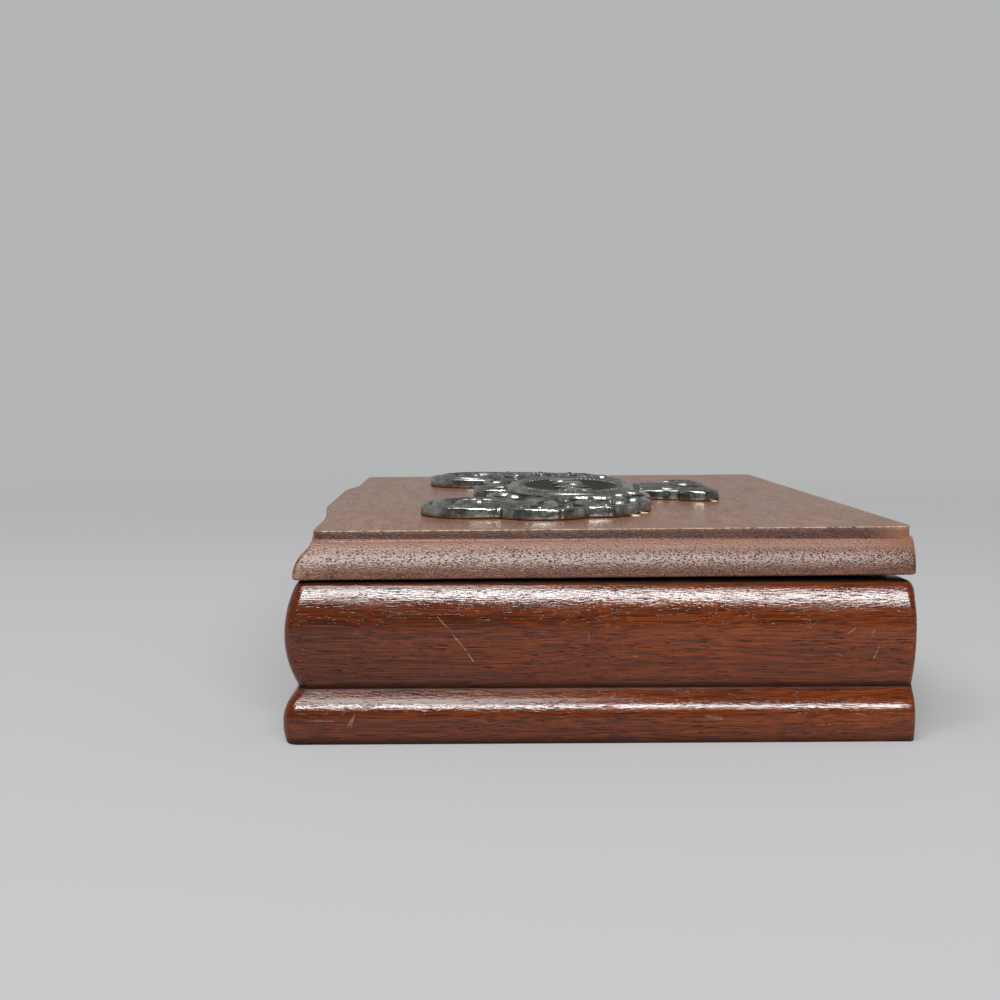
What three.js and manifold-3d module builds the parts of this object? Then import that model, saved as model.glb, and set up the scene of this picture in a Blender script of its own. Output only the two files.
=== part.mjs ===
// A playing card box for two packs of cards: a bowed and moulded wooden case with a hinged, moulded lid
// and a cast metal cartouche on the lid. Units are millimetres and +Z is up. X runs along the length, the
// opening edge faces -Y and the hinges are at +Y. The origin is the middle of the box's footprint, on the
// surface that it stands on.

import * as THREE from "three";
import { mergeVertices } from "three/addons/utils/BufferGeometryUtils.js";
import Module from "manifold-3d";

const wasm = await Module();
wasm.setup();

// Case
const caseLength = 155.5; // over the base moulding's noses
const caseDepth = 117.8; // from the front nose to the flat back
const railWidth = 10; // from a nose to the inner face
const backThickness = 8;
const baseHeight = 10.5; // where the walls stand on the base rails
const rimHeight = 30.2;
const crownSetback = 0.34; // from the nose in to the bowed wall's crown
const crownHeight = 20.3;
const bowRadius = 22;
const rimRound = 1.8;
const backRound = 2;
const noseTop = 5.2;
const noseBottom = 4;
const noseRadius = 7;
const footRadius = 6.4;

// Bottom, divider and felts
const panelThickness = 3;
const panelLift = 1.2; // from the ground up to the panel
const rebateWidth = 4;
const panelClearance = 0.15;
const undersideFeltThickness = 0.9;
const undersideFeltInset = 0.6;
const dividerThickness = 3.2;
const dividerDrop = 2.2; // from the rim down to the divider
const dadoDepth = 2.5;
const dadoClearance = 0.15;
const scoopRadius = 11;
const feltThickness = 1;
const feltClearance = 0.4;
const lidFeltInset = 1.5; // from the case's inner faces

// Lid
const closingGap = 0.65; // between the rim and the lid
const lidThickness = 8.7;
const lidSetback = 1.85; // from the base's nose in to the lid's foot
const lidFootArris = 0.5;
const ovoloRadius = 6.1;
const ovoloSweep = THREE.MathUtils.degToRad(45);
const slopeRise = 0.77;
const coveRadius = 1.4;
const coveSweep = THREE.MathUtils.degToRad(29);
const ledgeWidth = 0.52;
const ledgeRise = 0.35;
const lidTopArris = 0.4;
const lipReach = 2.4; // how far the finger lip swells forward
const lipWidth = 64; // between the middles of its two hollow ends
const lipRun = 21; // along each hollow end

// Hinges
const hingeFromEnd = 20.75; // from the case's inner end face in to the hinge's middle
const hingeInset = 0.8; // from the flat back in to the pin's axis
const leafLength = 22;
const leafReach = 6.2; // from the pin's axis to the leaf's free edge
const leafThickness = 0.9;
const leafGap = 0.1; // between the two leaves when the lid is shut
const leafClearance = 0.15;
const knuckleCount = 3;
const knuckleGap = 0.3;
const barrelRadius = 1.3;
const barrelClearance = 0.15;
const pinRadius = 0.5;
const boreClearance = 0.12;
const screwInset = 4; // from the pin's axis to the screws
const screwSpacing = 13;
const screwHeadRadius = 1.6;
const screwShankRadius = 0.8;
const screwHeadDepth = 0.75;
const screwRimDepth = 0.15;
const screwLength = 6;
const screwPointLength = 1.6;
const screwRecess = 0.05; // from the leaf's face down to the screw's head
const screwClearance = 0.1;
const slotWidth = 0.4;
const slotDepth = 0.35;

// Cartouche
const castLength = 113;
const castWidth = 70;
const castAside = 1.9; // its middle lies this far to the right of the lid's middle
const castForward = 0.9; // and this far in front of it
const adhesiveThickness = 0.3;
const adhesiveInset = 0.9;
const plateThickness = 2.2;
const ridgeRise = 0.7;
const ridgeWidth = 2.2;
const dishDepth = 0.7;
const dishRimWidth = 1.2;
const medallionLength = 50;
const medallionWidth = 30;
const medallionRise = 0.5;
const medallionRimWidth = 1.8;
const medallionRimRise = 1;
const pipSize = 8.4;
const pipRise = 0.55;
const pipSpacing = 10.4;
const flutes = 5;
const fluteLength = 9;
const fluteWidth = 3;

// The cartouche's lobes on its right half, as shares of half its length and half its width
const lobeShares = {
  volute: { along: 0.71, across: -0.634, radius: 0.354 },
  end: { along: 0.805, across: -0.263, radius: 0.314 },
  shoulder: { along: 0.754, across: 0.037, radius: 0.266 },
  step: { along: 0.63, across: 0.18, radius: 0.234 },
  flank: { along: 0.39, across: -0.063, radius: 0.529 },
  middle: { along: 0, across: 0.02, radius: 0.5 },
  pendant: { along: 0, across: -0.5, radius: 0.17 },
  crest: { along: 0, across: 0.64, radius: 0.33 },
  arm: { along: 0.1, across: 0.7, radius: 0.2 },
  armTip: { along: 0.19, across: 0.82, radius: 0.15 },
};

// Ridges on its right half, as shares of the same two sizes, each from its root to its tip
const ridgeShares = [
  [[0.673, -0.314], [0.558, -0.214], [0.504, 0], [0.549, 0.2], [0.646, 0.243], [0.69, 0.143]],
  [[0.69, -0.24], [0.78, -0.2], [0.87, -0.24], [0.95, -0.3]],
  [[0.68, -0.05], [0.77, 0], [0.86, 0.06]],
  [[0.08, 0.46], [0.1, 0.58], [0.13, 0.68], [0.19, 0.76]],
];

// Spirals on its lobes: the angle at which each starts at the lobe's edge, and its turns inwards
const spirals = [
  { lobe: "volute", start: THREE.MathUtils.degToRad(100), turns: -1.5 },
  { lobe: "armTip", start: THREE.MathUtils.degToRad(-90), turns: 1.2 },
];
const spiralEyeShare = 0.2; // of the lobe's radius

// Outlines of the suits' marks, as shares of their size
const heartShares = { lobeOut: 0.22, lobeUp: 0.14, lobeRadius: 0.25, point: -0.48, shoulder: 0.02 };
const clubShares = { leafOut: 0.21, leafUp: -0.06, topUp: 0.24, leafRadius: 0.2 };
const diamondShares = { halfWidth: 0.34, halfHeight: 0.48 };
const stemShares = { top: 0, foot: -0.46, halfWidth: 0.14 };

const overrun = 1; // cutters run this far past what they cut
const arcSteps = 6;
const lipSteps = 10;
const barrelSides = 16;
const screwSides = 12;
const scoopSides = 28;
const lobeSides = 26;
const dishSides = 24;
const ridgeSteps = 14;
const spiralSteps = 30;

// Places worked out from the sizes
const halfLength = caseLength / 2;
const lipOverhang = Math.max(0, lipReach - lidSetback);
const hingeOverhang = Math.max(0, barrelRadius - hingeInset);
const backY = (caseDepth + lipOverhang - hingeOverhang) / 2;
const noseY = backY - caseDepth;
const innerX = halfLength - railWidth;
const innerFrontY = noseY + railWidth;
const innerBackY = backY - backThickness;
const innerMidY = (innerFrontY + innerBackY) / 2;
const panelTop = panelLift + panelThickness;
const dividerTop = rimHeight - dividerDrop;
const lidUnder = rimHeight + closingGap;
const lidTop = lidUnder + lidThickness;
const lidFootX = halfLength - lidSetback;
const lidFootY = noseY + lidSetback;
const lidMidY = (lidFootY + backY) / 2;
const hingeY = backY - hingeInset;
const hingeZ = rimHeight + closingGap / 2;
const caseSeatZ = hingeZ - leafGap / 2 - leafThickness;
const lidSeatZ = hingeZ + leafGap / 2 + leafThickness;
const hingeMiddles = [-innerX + hingeFromEnd, innerX - hingeFromEnd];
const screwPlaces = hingeMiddles.flatMap((x) => [x - screwSpacing / 2, x + screwSpacing / 2]);
const screwY = hingeY - screwInset;
const castX = castAside;
const castY = lidMidY - castForward;
const castZ = lidTop + adhesiveThickness;
const plateTop = castZ + plateThickness;

// Materials
const finish = (color, roughness, metalness = 0) =>
  new THREE.MeshStandardMaterial({ color, roughness, metalness });
const caseWood = finish(0x6a3524, 0.3);
const lidWood = finish(0x7b5044, 0.45);
const panelWood = finish(0x8a5c3c, 0.6);
const greenFelt = finish(0x23402f, 0.95);
const castMetal = finish(0x55554f, 0.35, 1);
const brass = finish(0xb08d4a, 0.35, 1);
const glue = finish(0xb9a25e, 0.5);

/** Turns a closed geometry into a solid that can be joined and cut. */
function solidOf(geometry) {
  const bare = geometry.clone();
  bare.deleteAttribute("normal");
  bare.deleteAttribute("uv");
  const merged = mergeVertices(bare);
  const index = merged.index.array;
  const corners = [];
  for (let i = 0; i < index.length; i += 3) {
    const [a, b, c] = [index[i], index[i + 1], index[i + 2]];
    if (a !== b && b !== c && c !== a) corners.push([a, b, c]);
  }
  const make = (triangles) =>
    new wasm.Manifold(
      new wasm.Mesh({
        numProp: 3,
        vertProperties: merged.attributes.position.array,
        triVerts: new Uint32Array(triangles.flat()),
      }),
    );
  const solid = make(corners);
  return solid.volume() > 0 ? solid : make(corners.map(([a, b, c]) => [a, c, b]));
}

/** Cuts every cutter away from a solid. */
const cut = (solid, ...cutters) => cutters.reduce((left, cutter) => left.subtract(cutter), solid);

/** Joins several solids into one. */
const join = (...solids) => solids.reduce((whole, solid) => whole.add(solid));

/** Runs a function for the numbers from 0 up to count and keeps what it gives. */
const repeat = (count, make) => Array.from({ length: count }, (_, i) => make(i));

/** A box between two corners. */
function block([x0, y0, z0], [x1, y1, z1]) {
  const box = new THREE.BoxGeometry(x1 - x0, y1 - y0, z1 - z0);
  box.translate((x0 + x1) / 2, (y0 + y1) / 2, (z0 + z1) / 2);
  return solidOf(box);
}

/** A round bar along X whose axis lies at y and z. */
function bar(x0, x1, y, z, radius, sides = barrelSides) {
  const round = new THREE.CylinderGeometry(radius, radius, x1 - x0, sides);
  round.rotateZ(Math.PI / 2);
  round.translate((x0 + x1) / 2, y, z);
  return solidOf(round);
}

/** A flat outline of [x, y] points raised from z0 up to z1. */
function prism(outline, z0, z1) {
  const shape = new THREE.Shape(outline.map(([x, y]) => new THREE.Vector2(x, y)));
  const raised = new THREE.ExtrudeGeometry(shape, { depth: z1 - z0, bevelEnabled: false });
  raised.translate(0, 0, z0);
  return solidOf(raised);
}

/** Points of an arc round a centre, both ends included, with angles in radians. */
function arc([u, v], radius, from, to, steps = arcSteps) {
  return repeat(steps + 1, (i) => {
    const angle = from + ((to - from) * i) / steps;
    return [u + radius * Math.cos(angle), v + radius * Math.sin(angle)];
  });
}

/** The outline of an ellipse, counter-clockwise. */
function ellipse([x, y], halfWidth, halfHeight, sides = lobeSides) {
  return repeat(sides, (i) => {
    const angle = (2 * Math.PI * i) / sides;
    return [x + halfWidth * Math.cos(angle), y + halfHeight * Math.sin(angle)];
  });
}

/** A closed skin through rings of [x, y, z] points, which flatten turns counter-clockwise in a plane. */
function loft(rings, flatten) {
  const count = rings[0].length;
  const last = (rings.length - 1) * count;
  const skin = rings.slice(1).flatMap((_, level) =>
    repeat(count, (i) => {
      const here = level * count + i;
      const next = level * count + ((i + 1) % count);
      return [here, next, next + count, here, next + count, here + count];
    }),
  );
  const cap = (ring) => THREE.ShapeUtils.triangulateShape(ring.map(flatten), []);
  const start = cap(rings[0]).map(([a, b, c]) => [a, c, b]);
  const end = cap(rings.at(-1)).map((face) => face.map((corner) => corner + last));
  const geometry = new THREE.BufferGeometry();
  geometry.setAttribute("position", new THREE.Float32BufferAttribute(rings.flat(2), 3));
  geometry.setIndex([...skin, ...start, ...end].flat());
  return solidOf(geometry);
}

// The case's mouldings. Their sections are [out, up] points, with out measured from the inner face.

/** The bowed wall's section, which rounds over to a flat rim. */
function wallSection() {
  const centre = [railWidth - crownSetback - bowRadius, crownHeight];
  const lowAngle = Math.asin((baseHeight - crownHeight) / bowRadius);
  const roundUp = rimHeight - rimRound;
  const highAngle = Math.asin((roundUp - crownHeight) / (bowRadius - rimRound));
  const roundOut = centre[0] + (bowRadius - rimRound) * Math.cos(highAngle);
  return [
    [0, baseHeight],
    ...arc(centre, bowRadius, lowAngle, highAngle, 2 * arcSteps),
    ...arc([roundOut, roundUp], rimRound, highAngle, Math.PI / 2).slice(1),
    [0, rimHeight],
  ];
}

/** The base rail's section: a foot that rounds in to the ground, and a nose that rounds in to the wall. */
function railSection() {
  const footCentre = [railWidth - footRadius, noseBottom];
  const noseCentre = [railWidth - noseRadius, noseTop];
  return [
    [0, 0],
    ...arc(footCentre, footRadius, -Math.asin(noseBottom / footRadius), 0),
    ...arc(noseCentre, noseRadius, 0, Math.asin((baseHeight - noseTop) / noseRadius)),
    [0, baseHeight],
  ];
}

/** A rail along the front, mitred at both ends. */
function frontRail(section) {
  const end = (side) => section.map(([out, up]) => [side * (innerX + out), innerFrontY - out, up]);
  return loft([end(-1), end(1)], ([, y, z]) => new THREE.Vector2(-y, z));
}

/** A rail along one end of the case, mitred in front and cut flush with the back. */
function endRail(section, side) {
  const mitre = section.map(([out, up]) => [side * (innerX + out), innerFrontY - out, up]);
  const flush = section.map(([out, up]) => [side * (innerX + out), backY, up]);
  return loft([mitre, flush], ([x, , z]) => new THREE.Vector2(side * x, z));
}

/** What is taken off the back's top edge to round it over. */
function backRoundCutter() {
  const [y, z] = [backY - backRound, rimHeight - backRound];
  const far = halfLength + overrun;
  const corner = block([-far, y, z], [far, backY + overrun, rimHeight + overrun]);
  return corner.subtract(bar(-far - overrun, far + overrun, y, z, backRound, 4 * arcSteps));
}

/** The divider's slot in the front and back of the case. */
function dadoCutter() {
  const halfWidth = dividerThickness / 2 + dadoClearance;
  const reach = dadoDepth + dadoClearance;
  return block(
    [-halfWidth, innerFrontY - reach, panelTop - overrun],
    [halfWidth, innerBackY + reach, dividerTop + dadoClearance],
  );
}

/** The rebate under the rails that takes the bottom panel. */
function rebateCutter() {
  return block(
    [-innerX - rebateWidth, innerFrontY - rebateWidth, -overrun],
    [innerX + rebateWidth, innerBackY + rebateWidth, panelTop],
  );
}

/** The recess for a hinge's leaf and barrel, with the leaf's seat between z0 and z1. */
function mortiseCutter(x, z0, z1) {
  const half = leafLength / 2 + leafClearance;
  const front = hingeY - leafReach - leafClearance;
  const seat = block([x - half, front, z0], [x + half, backY + overrun, z1]);
  return seat.add(bar(x - half, x + half, hingeY, hingeZ, barrelRadius + barrelClearance));
}

/** A pilot hole along Z for a hinge screw. */
function pilotCutter(x, z0, z1) {
  const radius = screwShankRadius + screwClearance;
  return prism(ellipse([x, screwY], radius, radius, screwSides), z0, z1);
}

// Lid

/** The lid's edge from its underside up, as [inset, up, backInset], with inset measured from its foot. */
function lidSection() {
  const foot = arc([lidFootArris, lidFootArris], lidFootArris, -Math.PI / 2, -Math.PI);
  const ovolo = arc([ovoloRadius, lidFootArris], ovoloRadius, Math.PI, Math.PI - ovoloSweep).slice(1);
  const slope = ovolo.at(-1).map((place) => place + slopeRise);
  const steep = Math.PI / 4;
  const coveCentre = [slope[0] - coveRadius * Math.cos(steep), slope[1] + coveRadius * Math.sin(steep)];
  const cove = arc(coveCentre, coveRadius, -steep, coveSweep - steep, arcSteps / 2);
  const [coveIn, coveUp] = cove.at(-1);
  const filletIn = coveIn + ledgeWidth;
  const topCentre = [filletIn + lidTopArris, lidThickness - lidTopArris];
  const top = arc(topCentre, lidTopArris, Math.PI, Math.PI / 2, arcSteps / 2);
  return [
    ...foot.map(([inset, up]) => [inset, up, inset]),
    ...[...ovolo, ...cove, [filletIn, coveUp + ledgeRise]].map(([inset, up]) => [inset, up, 0]),
    ...top.map(([inset, up]) => [inset, up, inset - filletIn]),
  ];
}

/** How far the lid's front edge swells forward at x. */
function lipSwell(x) {
  const along = (lipWidth / 2 + lipRun / 2 - Math.abs(x)) / lipRun;
  const rise = THREE.MathUtils.clamp(along, 0, 1);
  return (lipReach * (1 - Math.cos(Math.PI * rise))) / 2;
}

/** The lid board with its moulded edges, its serpentine front and the recesses for the hinges. */
function lidBoard() {
  const bends = repeat(lipSteps + 1, (i) => lipWidth / 2 - lipRun / 2 + (lipRun * i) / lipSteps);
  const bendsLeft = bends.map((x) => -x).reverse();
  const rings = lidSection().map(([inset, up, backInset]) => {
    const z = lidUnder + up;
    const endX = lidFootX - inset;
    const front = [-endX, ...bendsLeft, ...bends, endX];
    return [
      ...front.map((x) => [x, lidFootY + inset - lipSwell(x), z]),
      [endX, backY - backInset, z],
      [-endX, backY - backInset, z],
    ];
  });
  const board = loft(rings, ([x, y]) => new THREE.Vector2(x, y));
  return cut(
    board,
    ...hingeMiddles.map((x) => mortiseCutter(x, lidUnder - overrun, lidSeatZ)),
    ...screwPlaces.map((x) => pilotCutter(x, lidUnder, lidUnder + screwLength + screwClearance)),
  );
}

// Hinges

/** A screw's round section, from its point at -length up to its head's face at 0, grown by spare. */
function screwSection(length, spare) {
  const shank = screwShankRadius + spare;
  const head = screwHeadRadius + spare;
  return [
    [0, -length - spare],
    [shank, -length + screwPointLength],
    [shank, -screwHeadDepth - spare],
    [head, -screwRimDepth - spare],
    [head, spare],
    [0, spare],
  ];
}

/** Turns a screw's section about its axis, with the point down for side -1 and up for side 1. */
function turned(section, x, z, side) {
  const round = new THREE.LatheGeometry(section.map(([u, v]) => new THREE.Vector2(u, v)), screwSides);
  round.rotateX((-side * Math.PI) / 2);
  round.translate(x, screwY, z);
  return solidOf(round);
}

/** A slotted countersunk screw that holds a leaf whose free face lies at z. */
function screw(x, z, side) {
  const head = z + side * screwRecess;
  const [halfWidth, halfLong] = [slotWidth / 2, screwHeadRadius + overrun];
  const [low, high] = [head - side * overrun, head + side * slotDepth].toSorted((a, b) => a - b);
  return turned(screwSection(screwLength, 0), x, head, side).subtract(
    block([x - halfWidth, screwY - halfLong, low], [x + halfWidth, screwY + halfLong, high]),
  );
}

/** One hinge leaf with its knuckles. The lid's leaf lies above the pin's axis, the case's below it. */
function hingeLeaf(middle, side) {
  const face = hingeZ + (side * leafGap) / 2;
  const [low, high] = [face, face + side * leafThickness].toSorted((a, b) => a - b);
  const start = middle - leafLength / 2;
  const plate = block([start, hingeY - leafReach, low], [start + leafLength, hingeY, high]);
  const pitch = (leafLength + knuckleGap) / knuckleCount;
  const knuckle = (i, spare, radius) =>
    bar(start + i * pitch - spare, start + (i + 1) * pitch - knuckleGap + spare, hingeY, hingeZ, radius);
  const numbers = repeat(knuckleCount, (i) => i);
  const ownFirst = side > 0 ? 1 : 0;
  const own = numbers.filter((i) => i % 2 === ownFirst).map((i) => knuckle(i, 0, barrelRadius));
  const gaps = numbers
    .filter((i) => i % 2 !== ownFirst)
    .map((i) => knuckle(i, knuckleGap, barrelRadius + barrelClearance));
  const reach = leafLength / 2 + overrun;
  const bore = bar(middle - reach, middle + reach, hingeY, hingeZ, pinRadius + boreClearance);
  const sinks = screwPlaces
    .filter((x) => Math.abs(x - middle) < leafLength / 2)
    .map((x) => turned(screwSection(screwLength, screwClearance), x, face + side * screwRecess, side));
  return cut(join(cut(plate, ...gaps), ...own), bore, ...sinks);
}

// Cartouche

/** A place on the cartouche from its shares, on the right for side 1 and mirrored for side -1. */
const castPlace = ([along, across], side) => [
  castX + (side * along * castLength) / 2,
  castY + (across * castWidth) / 2,
];

/** Both mirrored copies of what a function makes for a side. */
const bothSides = (make) => [make(1), make(-1)];

/** A lobe's middle and radius. */
const lobeMiddle = ({ along, across }, side) => castPlace([along, across], side);
const lobeRadius = ({ radius }) => (radius * castWidth) / 2;

/** The cartouche's plan, made of its lobes shrunk by inset, from z0 up to z1. */
function castPlan(inset, z0, z1) {
  const lobes = Object.values(lobeShares).flatMap((lobe) =>
    bothSides((side) => {
      const radius = lobeRadius(lobe) - inset;
      return prism(ellipse(lobeMiddle(lobe, side), radius, radius), z0, z1);
    }),
  );
  return join(...lobes);
}

/** A raised band through places, tapered to its tip. */
function band(places, steps) {
  const curve = new THREE.SplineCurve(places.map(([x, y]) => new THREE.Vector2(x, y)));
  const edge = (i, hand) => {
    const middle = curve.getPoint(i / steps);
    const along = curve.getTangent(i / steps);
    const half = (ridgeWidth * (1 - i / (2 * steps))) / 2;
    return [middle.x - hand * half * along.y, middle.y + hand * half * along.x];
  };
  const right = repeat(steps + 1, (i) => edge(i, -1));
  const left = repeat(steps + 1, (i) => edge(steps - i, 1));
  return prism([...right, ...left], plateTop - 2 * dishDepth, plateTop + ridgeRise);
}

/** A ridge along a path of shares. */
const ridge = (path, side) => band(path.map((shares) => castPlace(shares, side)), ridgeSteps);

/** A spiral band that winds from a lobe's edge in to its eye. */
function spiral({ lobe, start, turns }, side) {
  const [x, y] = lobeMiddle(lobeShares[lobe], side);
  const outer = lobeRadius(lobeShares[lobe]) - ridgeWidth / 2;
  const eye = spiralEyeShare * outer;
  const places = repeat(spiralSteps + 1, (i) => {
    const share = i / spiralSteps;
    const angle = start + 2 * Math.PI * turns * share;
    const radius = outer + (eye - outer) * share;
    return [x + side * radius * Math.cos(angle), y + radius * Math.sin(angle)];
  });
  return band(places, 2 * spiralSteps);
}

/** The hollow that is sunk into a volute, with sloping sides. */
function dishCutter(side) {
  const outer = lobeRadius(lobeShares.volute) - dishRimWidth;
  const place = lobeMiddle(lobeShares.volute, side);
  const ring = (radius, z) => ellipse(place, radius, radius, dishSides).map(([x, y]) => [x, y, z]);
  const floor = ring(outer - dishDepth, plateTop - dishDepth);
  return loft([floor, ring(outer + overrun, plateTop + overrun)], ([x, y]) => new THREE.Vector2(x, y));
}

/** The oval medallion: a raised field inside a higher rim. */
function medallion() {
  const oval = (inset, z0, z1) => {
    const [halfX, halfY] = [medallionLength / 2 - inset, medallionWidth / 2 - inset];
    return prism(ellipse([castX, castY], halfX, halfY, 2 * lobeSides), z0, z1);
  };
  const rimTop = plateTop + medallionRimRise;
  const rim = oval(0, plateTop - dishDepth, rimTop);
  return rim.subtract(oval(medallionRimWidth, plateTop + medallionRise, rimTop + overrun));
}

/** The fan of flutes that crowns the cartouche's back edge. */
function crest() {
  const root = [castX, castY + medallionWidth / 2];
  return repeat(flutes, (i) => {
    const angle = (Math.PI * (i + 1)) / (flutes + 1);
    const [dx, dy] = [Math.cos(angle), Math.sin(angle)];
    const outline = ellipse([fluteLength, 0], fluteLength / 2, fluteWidth / 2).map(([u, v]) => [
      root[0] + u * dx - v * dy,
      root[1] + u * dy + v * dx,
    ]);
    return prism(outline, plateTop - dishDepth, plateTop + ridgeRise);
  });
}

/** The four suits' marks, in a row along the medallion. */
function pips() {
  const [z0, z1] = [plateTop, plateTop + medallionRise + pipRise];
  const at = (i, out, up) => [
    castX + (i - 3 / 2) * pipSpacing + out * pipSize,
    castY + up * pipSize,
  ];
  const raise = (outline) => prism(outline, z0, z1);
  const round = (middle, share) => raise(ellipse(middle, share * pipSize, share * pipSize));
  const heart = (i, turn) => {
    const { lobeOut, lobeUp, lobeRadius: lobe, point, shoulder } = heartShares;
    const wide = lobeOut + lobe;
    const up = (share) => turn * share;
    const body = [[-wide, up(shoulder)], [0, up(point)], [wide, up(shoulder)], [0, up(lobeUp)]];
    const lobes = bothSides((side) => round(at(i, side * lobeOut, up(lobeUp)), lobe));
    return join(...lobes, raise(body.map(([u, v]) => at(i, u, v))));
  };
  const stem = (i) => {
    const { top, foot, halfWidth } = stemShares;
    return raise([at(i, -halfWidth, foot), at(i, halfWidth, foot), at(i, 0, top)]);
  };
  const diamond = (i) => {
    const { halfWidth, halfHeight } = diamondShares;
    return raise([at(i, -halfWidth, 0), at(i, 0, -halfHeight), at(i, halfWidth, 0), at(i, 0, halfHeight)]);
  };
  const club = (i) => {
    const { leafOut, leafUp, topUp, leafRadius } = clubShares;
    const leaves = [[-leafOut, leafUp], [leafOut, leafUp], [0, topUp]];
    return join(...leaves.map(([u, v]) => round(at(i, u, v), leafRadius)));
  };
  return [heart(0, -1), stem(0), heart(1, 1), diamond(2), club(3), stem(3)];
}

/** The whole cartouche as one casting. */
function cartouche() {
  return join(
    cut(castPlan(0, castZ, plateTop), ...bothSides(dishCutter)),
    ...ridgeShares.flatMap((path) => bothSides((side) => ridge(path, side))),
    ...spirals.flatMap((turn) => bothSides((side) => spiral(turn, side))),
    ...crest(),
    medallion(),
    ...pips(),
  );
}

// Assembly

/** A named mesh of a solid. */
function piece(name, material, solid) {
  const { vertProperties, triVerts } = solid.getMesh();
  const indexed = new THREE.BufferGeometry();
  indexed.setAttribute("position", new THREE.BufferAttribute(vertProperties, 3));
  indexed.setIndex(new THREE.BufferAttribute(triVerts, 1));
  const flat = indexed.toNonIndexed();
  flat.computeVertexNormals();
  const mesh = new THREE.Mesh(flat, material);
  mesh.name = name;
  return mesh;
}

/** The words for the two sides, with the sign of X on each. */
const sides = [
  ["left", -1],
  ["right", 1],
];

/** The case's walls, which stand on the base rails. */
function walls() {
  const dado = dadoCutter();
  const round = backRoundCutter();
  const back = cut(
    block([-innerX, innerBackY, baseHeight], [innerX, backY, rimHeight]),
    dado,
    round,
    ...hingeMiddles.map((x) => mortiseCutter(x, caseSeatZ, rimHeight + overrun)),
    ...screwPlaces.map((x) => pilotCutter(x, rimHeight - screwLength - screwClearance, rimHeight)),
  );
  return [
    piece("front_wall", caseWood, cut(frontRail(wallSection()), dado)),
    ...sides.map(([word, side]) => piece(`${word}_wall`, caseWood, cut(endRail(wallSection(), side), round))),
    piece("back_wall", caseWood, back),
  ];
}

/** The base rails, with the bottom panel that they hold and the felt under it. */
function base() {
  const cuts = [rebateCutter(), dadoCutter()];
  const back = block([-innerX, innerBackY, 0], [innerX, backY, baseHeight]);
  const sheet = (inset, z0, z1) => {
    const reach = rebateWidth - inset;
    return block([-innerX - reach, innerFrontY - reach, z0], [innerX + reach, innerBackY + reach, z1]);
  };
  const feltZ = panelLift - undersideFeltThickness;
  return [
    piece("base_moulding_front", caseWood, cut(frontRail(railSection()), ...cuts)),
    ...sides.map(([word, side]) =>
      piece(`base_moulding_${word}`, caseWood, cut(endRail(railSection(), side), ...cuts)),
    ),
    piece("base_rail_back", caseWood, cut(back, ...cuts)),
    piece("bottom_panel", panelWood, sheet(panelClearance, panelLift, panelTop)),
    piece("underside_felt", greenFelt, sheet(undersideFeltInset, feltZ, panelLift)),
  ];
}

/** The divider with its finger scoop, and the felt on the floor of both compartments. */
function fittings() {
  const half = dividerThickness / 2;
  const divider = block(
    [-half, innerFrontY - dadoDepth, panelTop],
    [half, innerBackY + dadoDepth, dividerTop],
  );
  const scoop = bar(-half - overrun, half + overrun, innerMidY, dividerTop, scoopRadius, scoopSides);
  const felt = (side) => {
    const edges = [side * (half + feltClearance), side * (innerX - feltClearance)];
    const [x0, x1] = edges.toSorted((a, b) => a - b);
    const [y0, y1] = [innerFrontY + feltClearance, innerBackY - feltClearance];
    return block([x0, y0, panelTop], [x1, y1, panelTop + feltThickness]);
  };
  return [
    piece("compartment_divider", caseWood, divider.subtract(scoop)),
    ...sides.map(([word, side]) => piece(`floor_felt_${word}`, greenFelt, felt(side))),
  ];
}

/** The lid board, its felt and the cartouche glued on it. */
function lidPieces() {
  const feltX = innerX - lidFeltInset;
  const felt = block(
    [-feltX, innerFrontY + lidFeltInset, lidUnder - feltThickness],
    [feltX, innerBackY - lidFeltInset, lidUnder],
  );
  return [
    piece("lid_board", lidWood, lidBoard()),
    piece("lid_felt", greenFelt, felt),
    piece("ornament_adhesive", glue, castPlan(adhesiveInset, lidTop, castZ)),
    piece("ornament", castMetal, cartouche()),
  ];
}

/** Both hinges' leaves and screws, on the lid for side 1, or on the case, with the pins, for side -1. */
function hingePieces(side) {
  const owner = side > 0 ? "lid" : "case";
  const face = hingeZ + (side * leafGap) / 2;
  return sides.flatMap(([word], i) => {
    const middle = hingeMiddles[i];
    const start = middle - leafLength / 2;
    const screws = screwPlaces
      .slice(2 * i, 2 * i + 2)
      .map((x, number) => piece(`${owner}_screw_${word}_${number + 1}`, brass, screw(x, face, side)));
    const pin = bar(start, start + leafLength, hingeY, hingeZ, pinRadius);
    return [
      piece(`${owner}_hinge_leaf_${word}`, brass, hingeLeaf(middle, side)),
      ...screws,
      ...(side > 0 ? [] : [piece(`hinge_pin_${word}`, brass, pin)]),
    ];
  });
}

const caseGroup = new THREE.Group();
caseGroup.add(...walls(), ...base(), ...fittings(), ...hingePieces(-1));

const lidGroup = new THREE.Group();
lidGroup.add(...lidPieces(), ...hingePieces(1));

const cardBox = new THREE.Group();
cardBox.name = "playing_card_box";
cardBox.add(caseGroup, lidGroup);

export default cardBox;
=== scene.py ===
"""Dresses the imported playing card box.

Its case is lacquered mahogany, its lid carries a cast cartouche and turns on brass hinges, and
green baize lines it. Every mesh is made in millimetres and turned into metres when its piece is
finished. X runs along the box, the opening edge faces -Y, the hinges are at +Y, and the box stands
on Z = 0.
"""

import logging
import math
from collections.abc import Callable, Iterable, Sequence
from dataclasses import dataclass, field
from enum import Enum

import bmesh
import bpy
from mathutils import Matrix, Vector, noise


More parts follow.
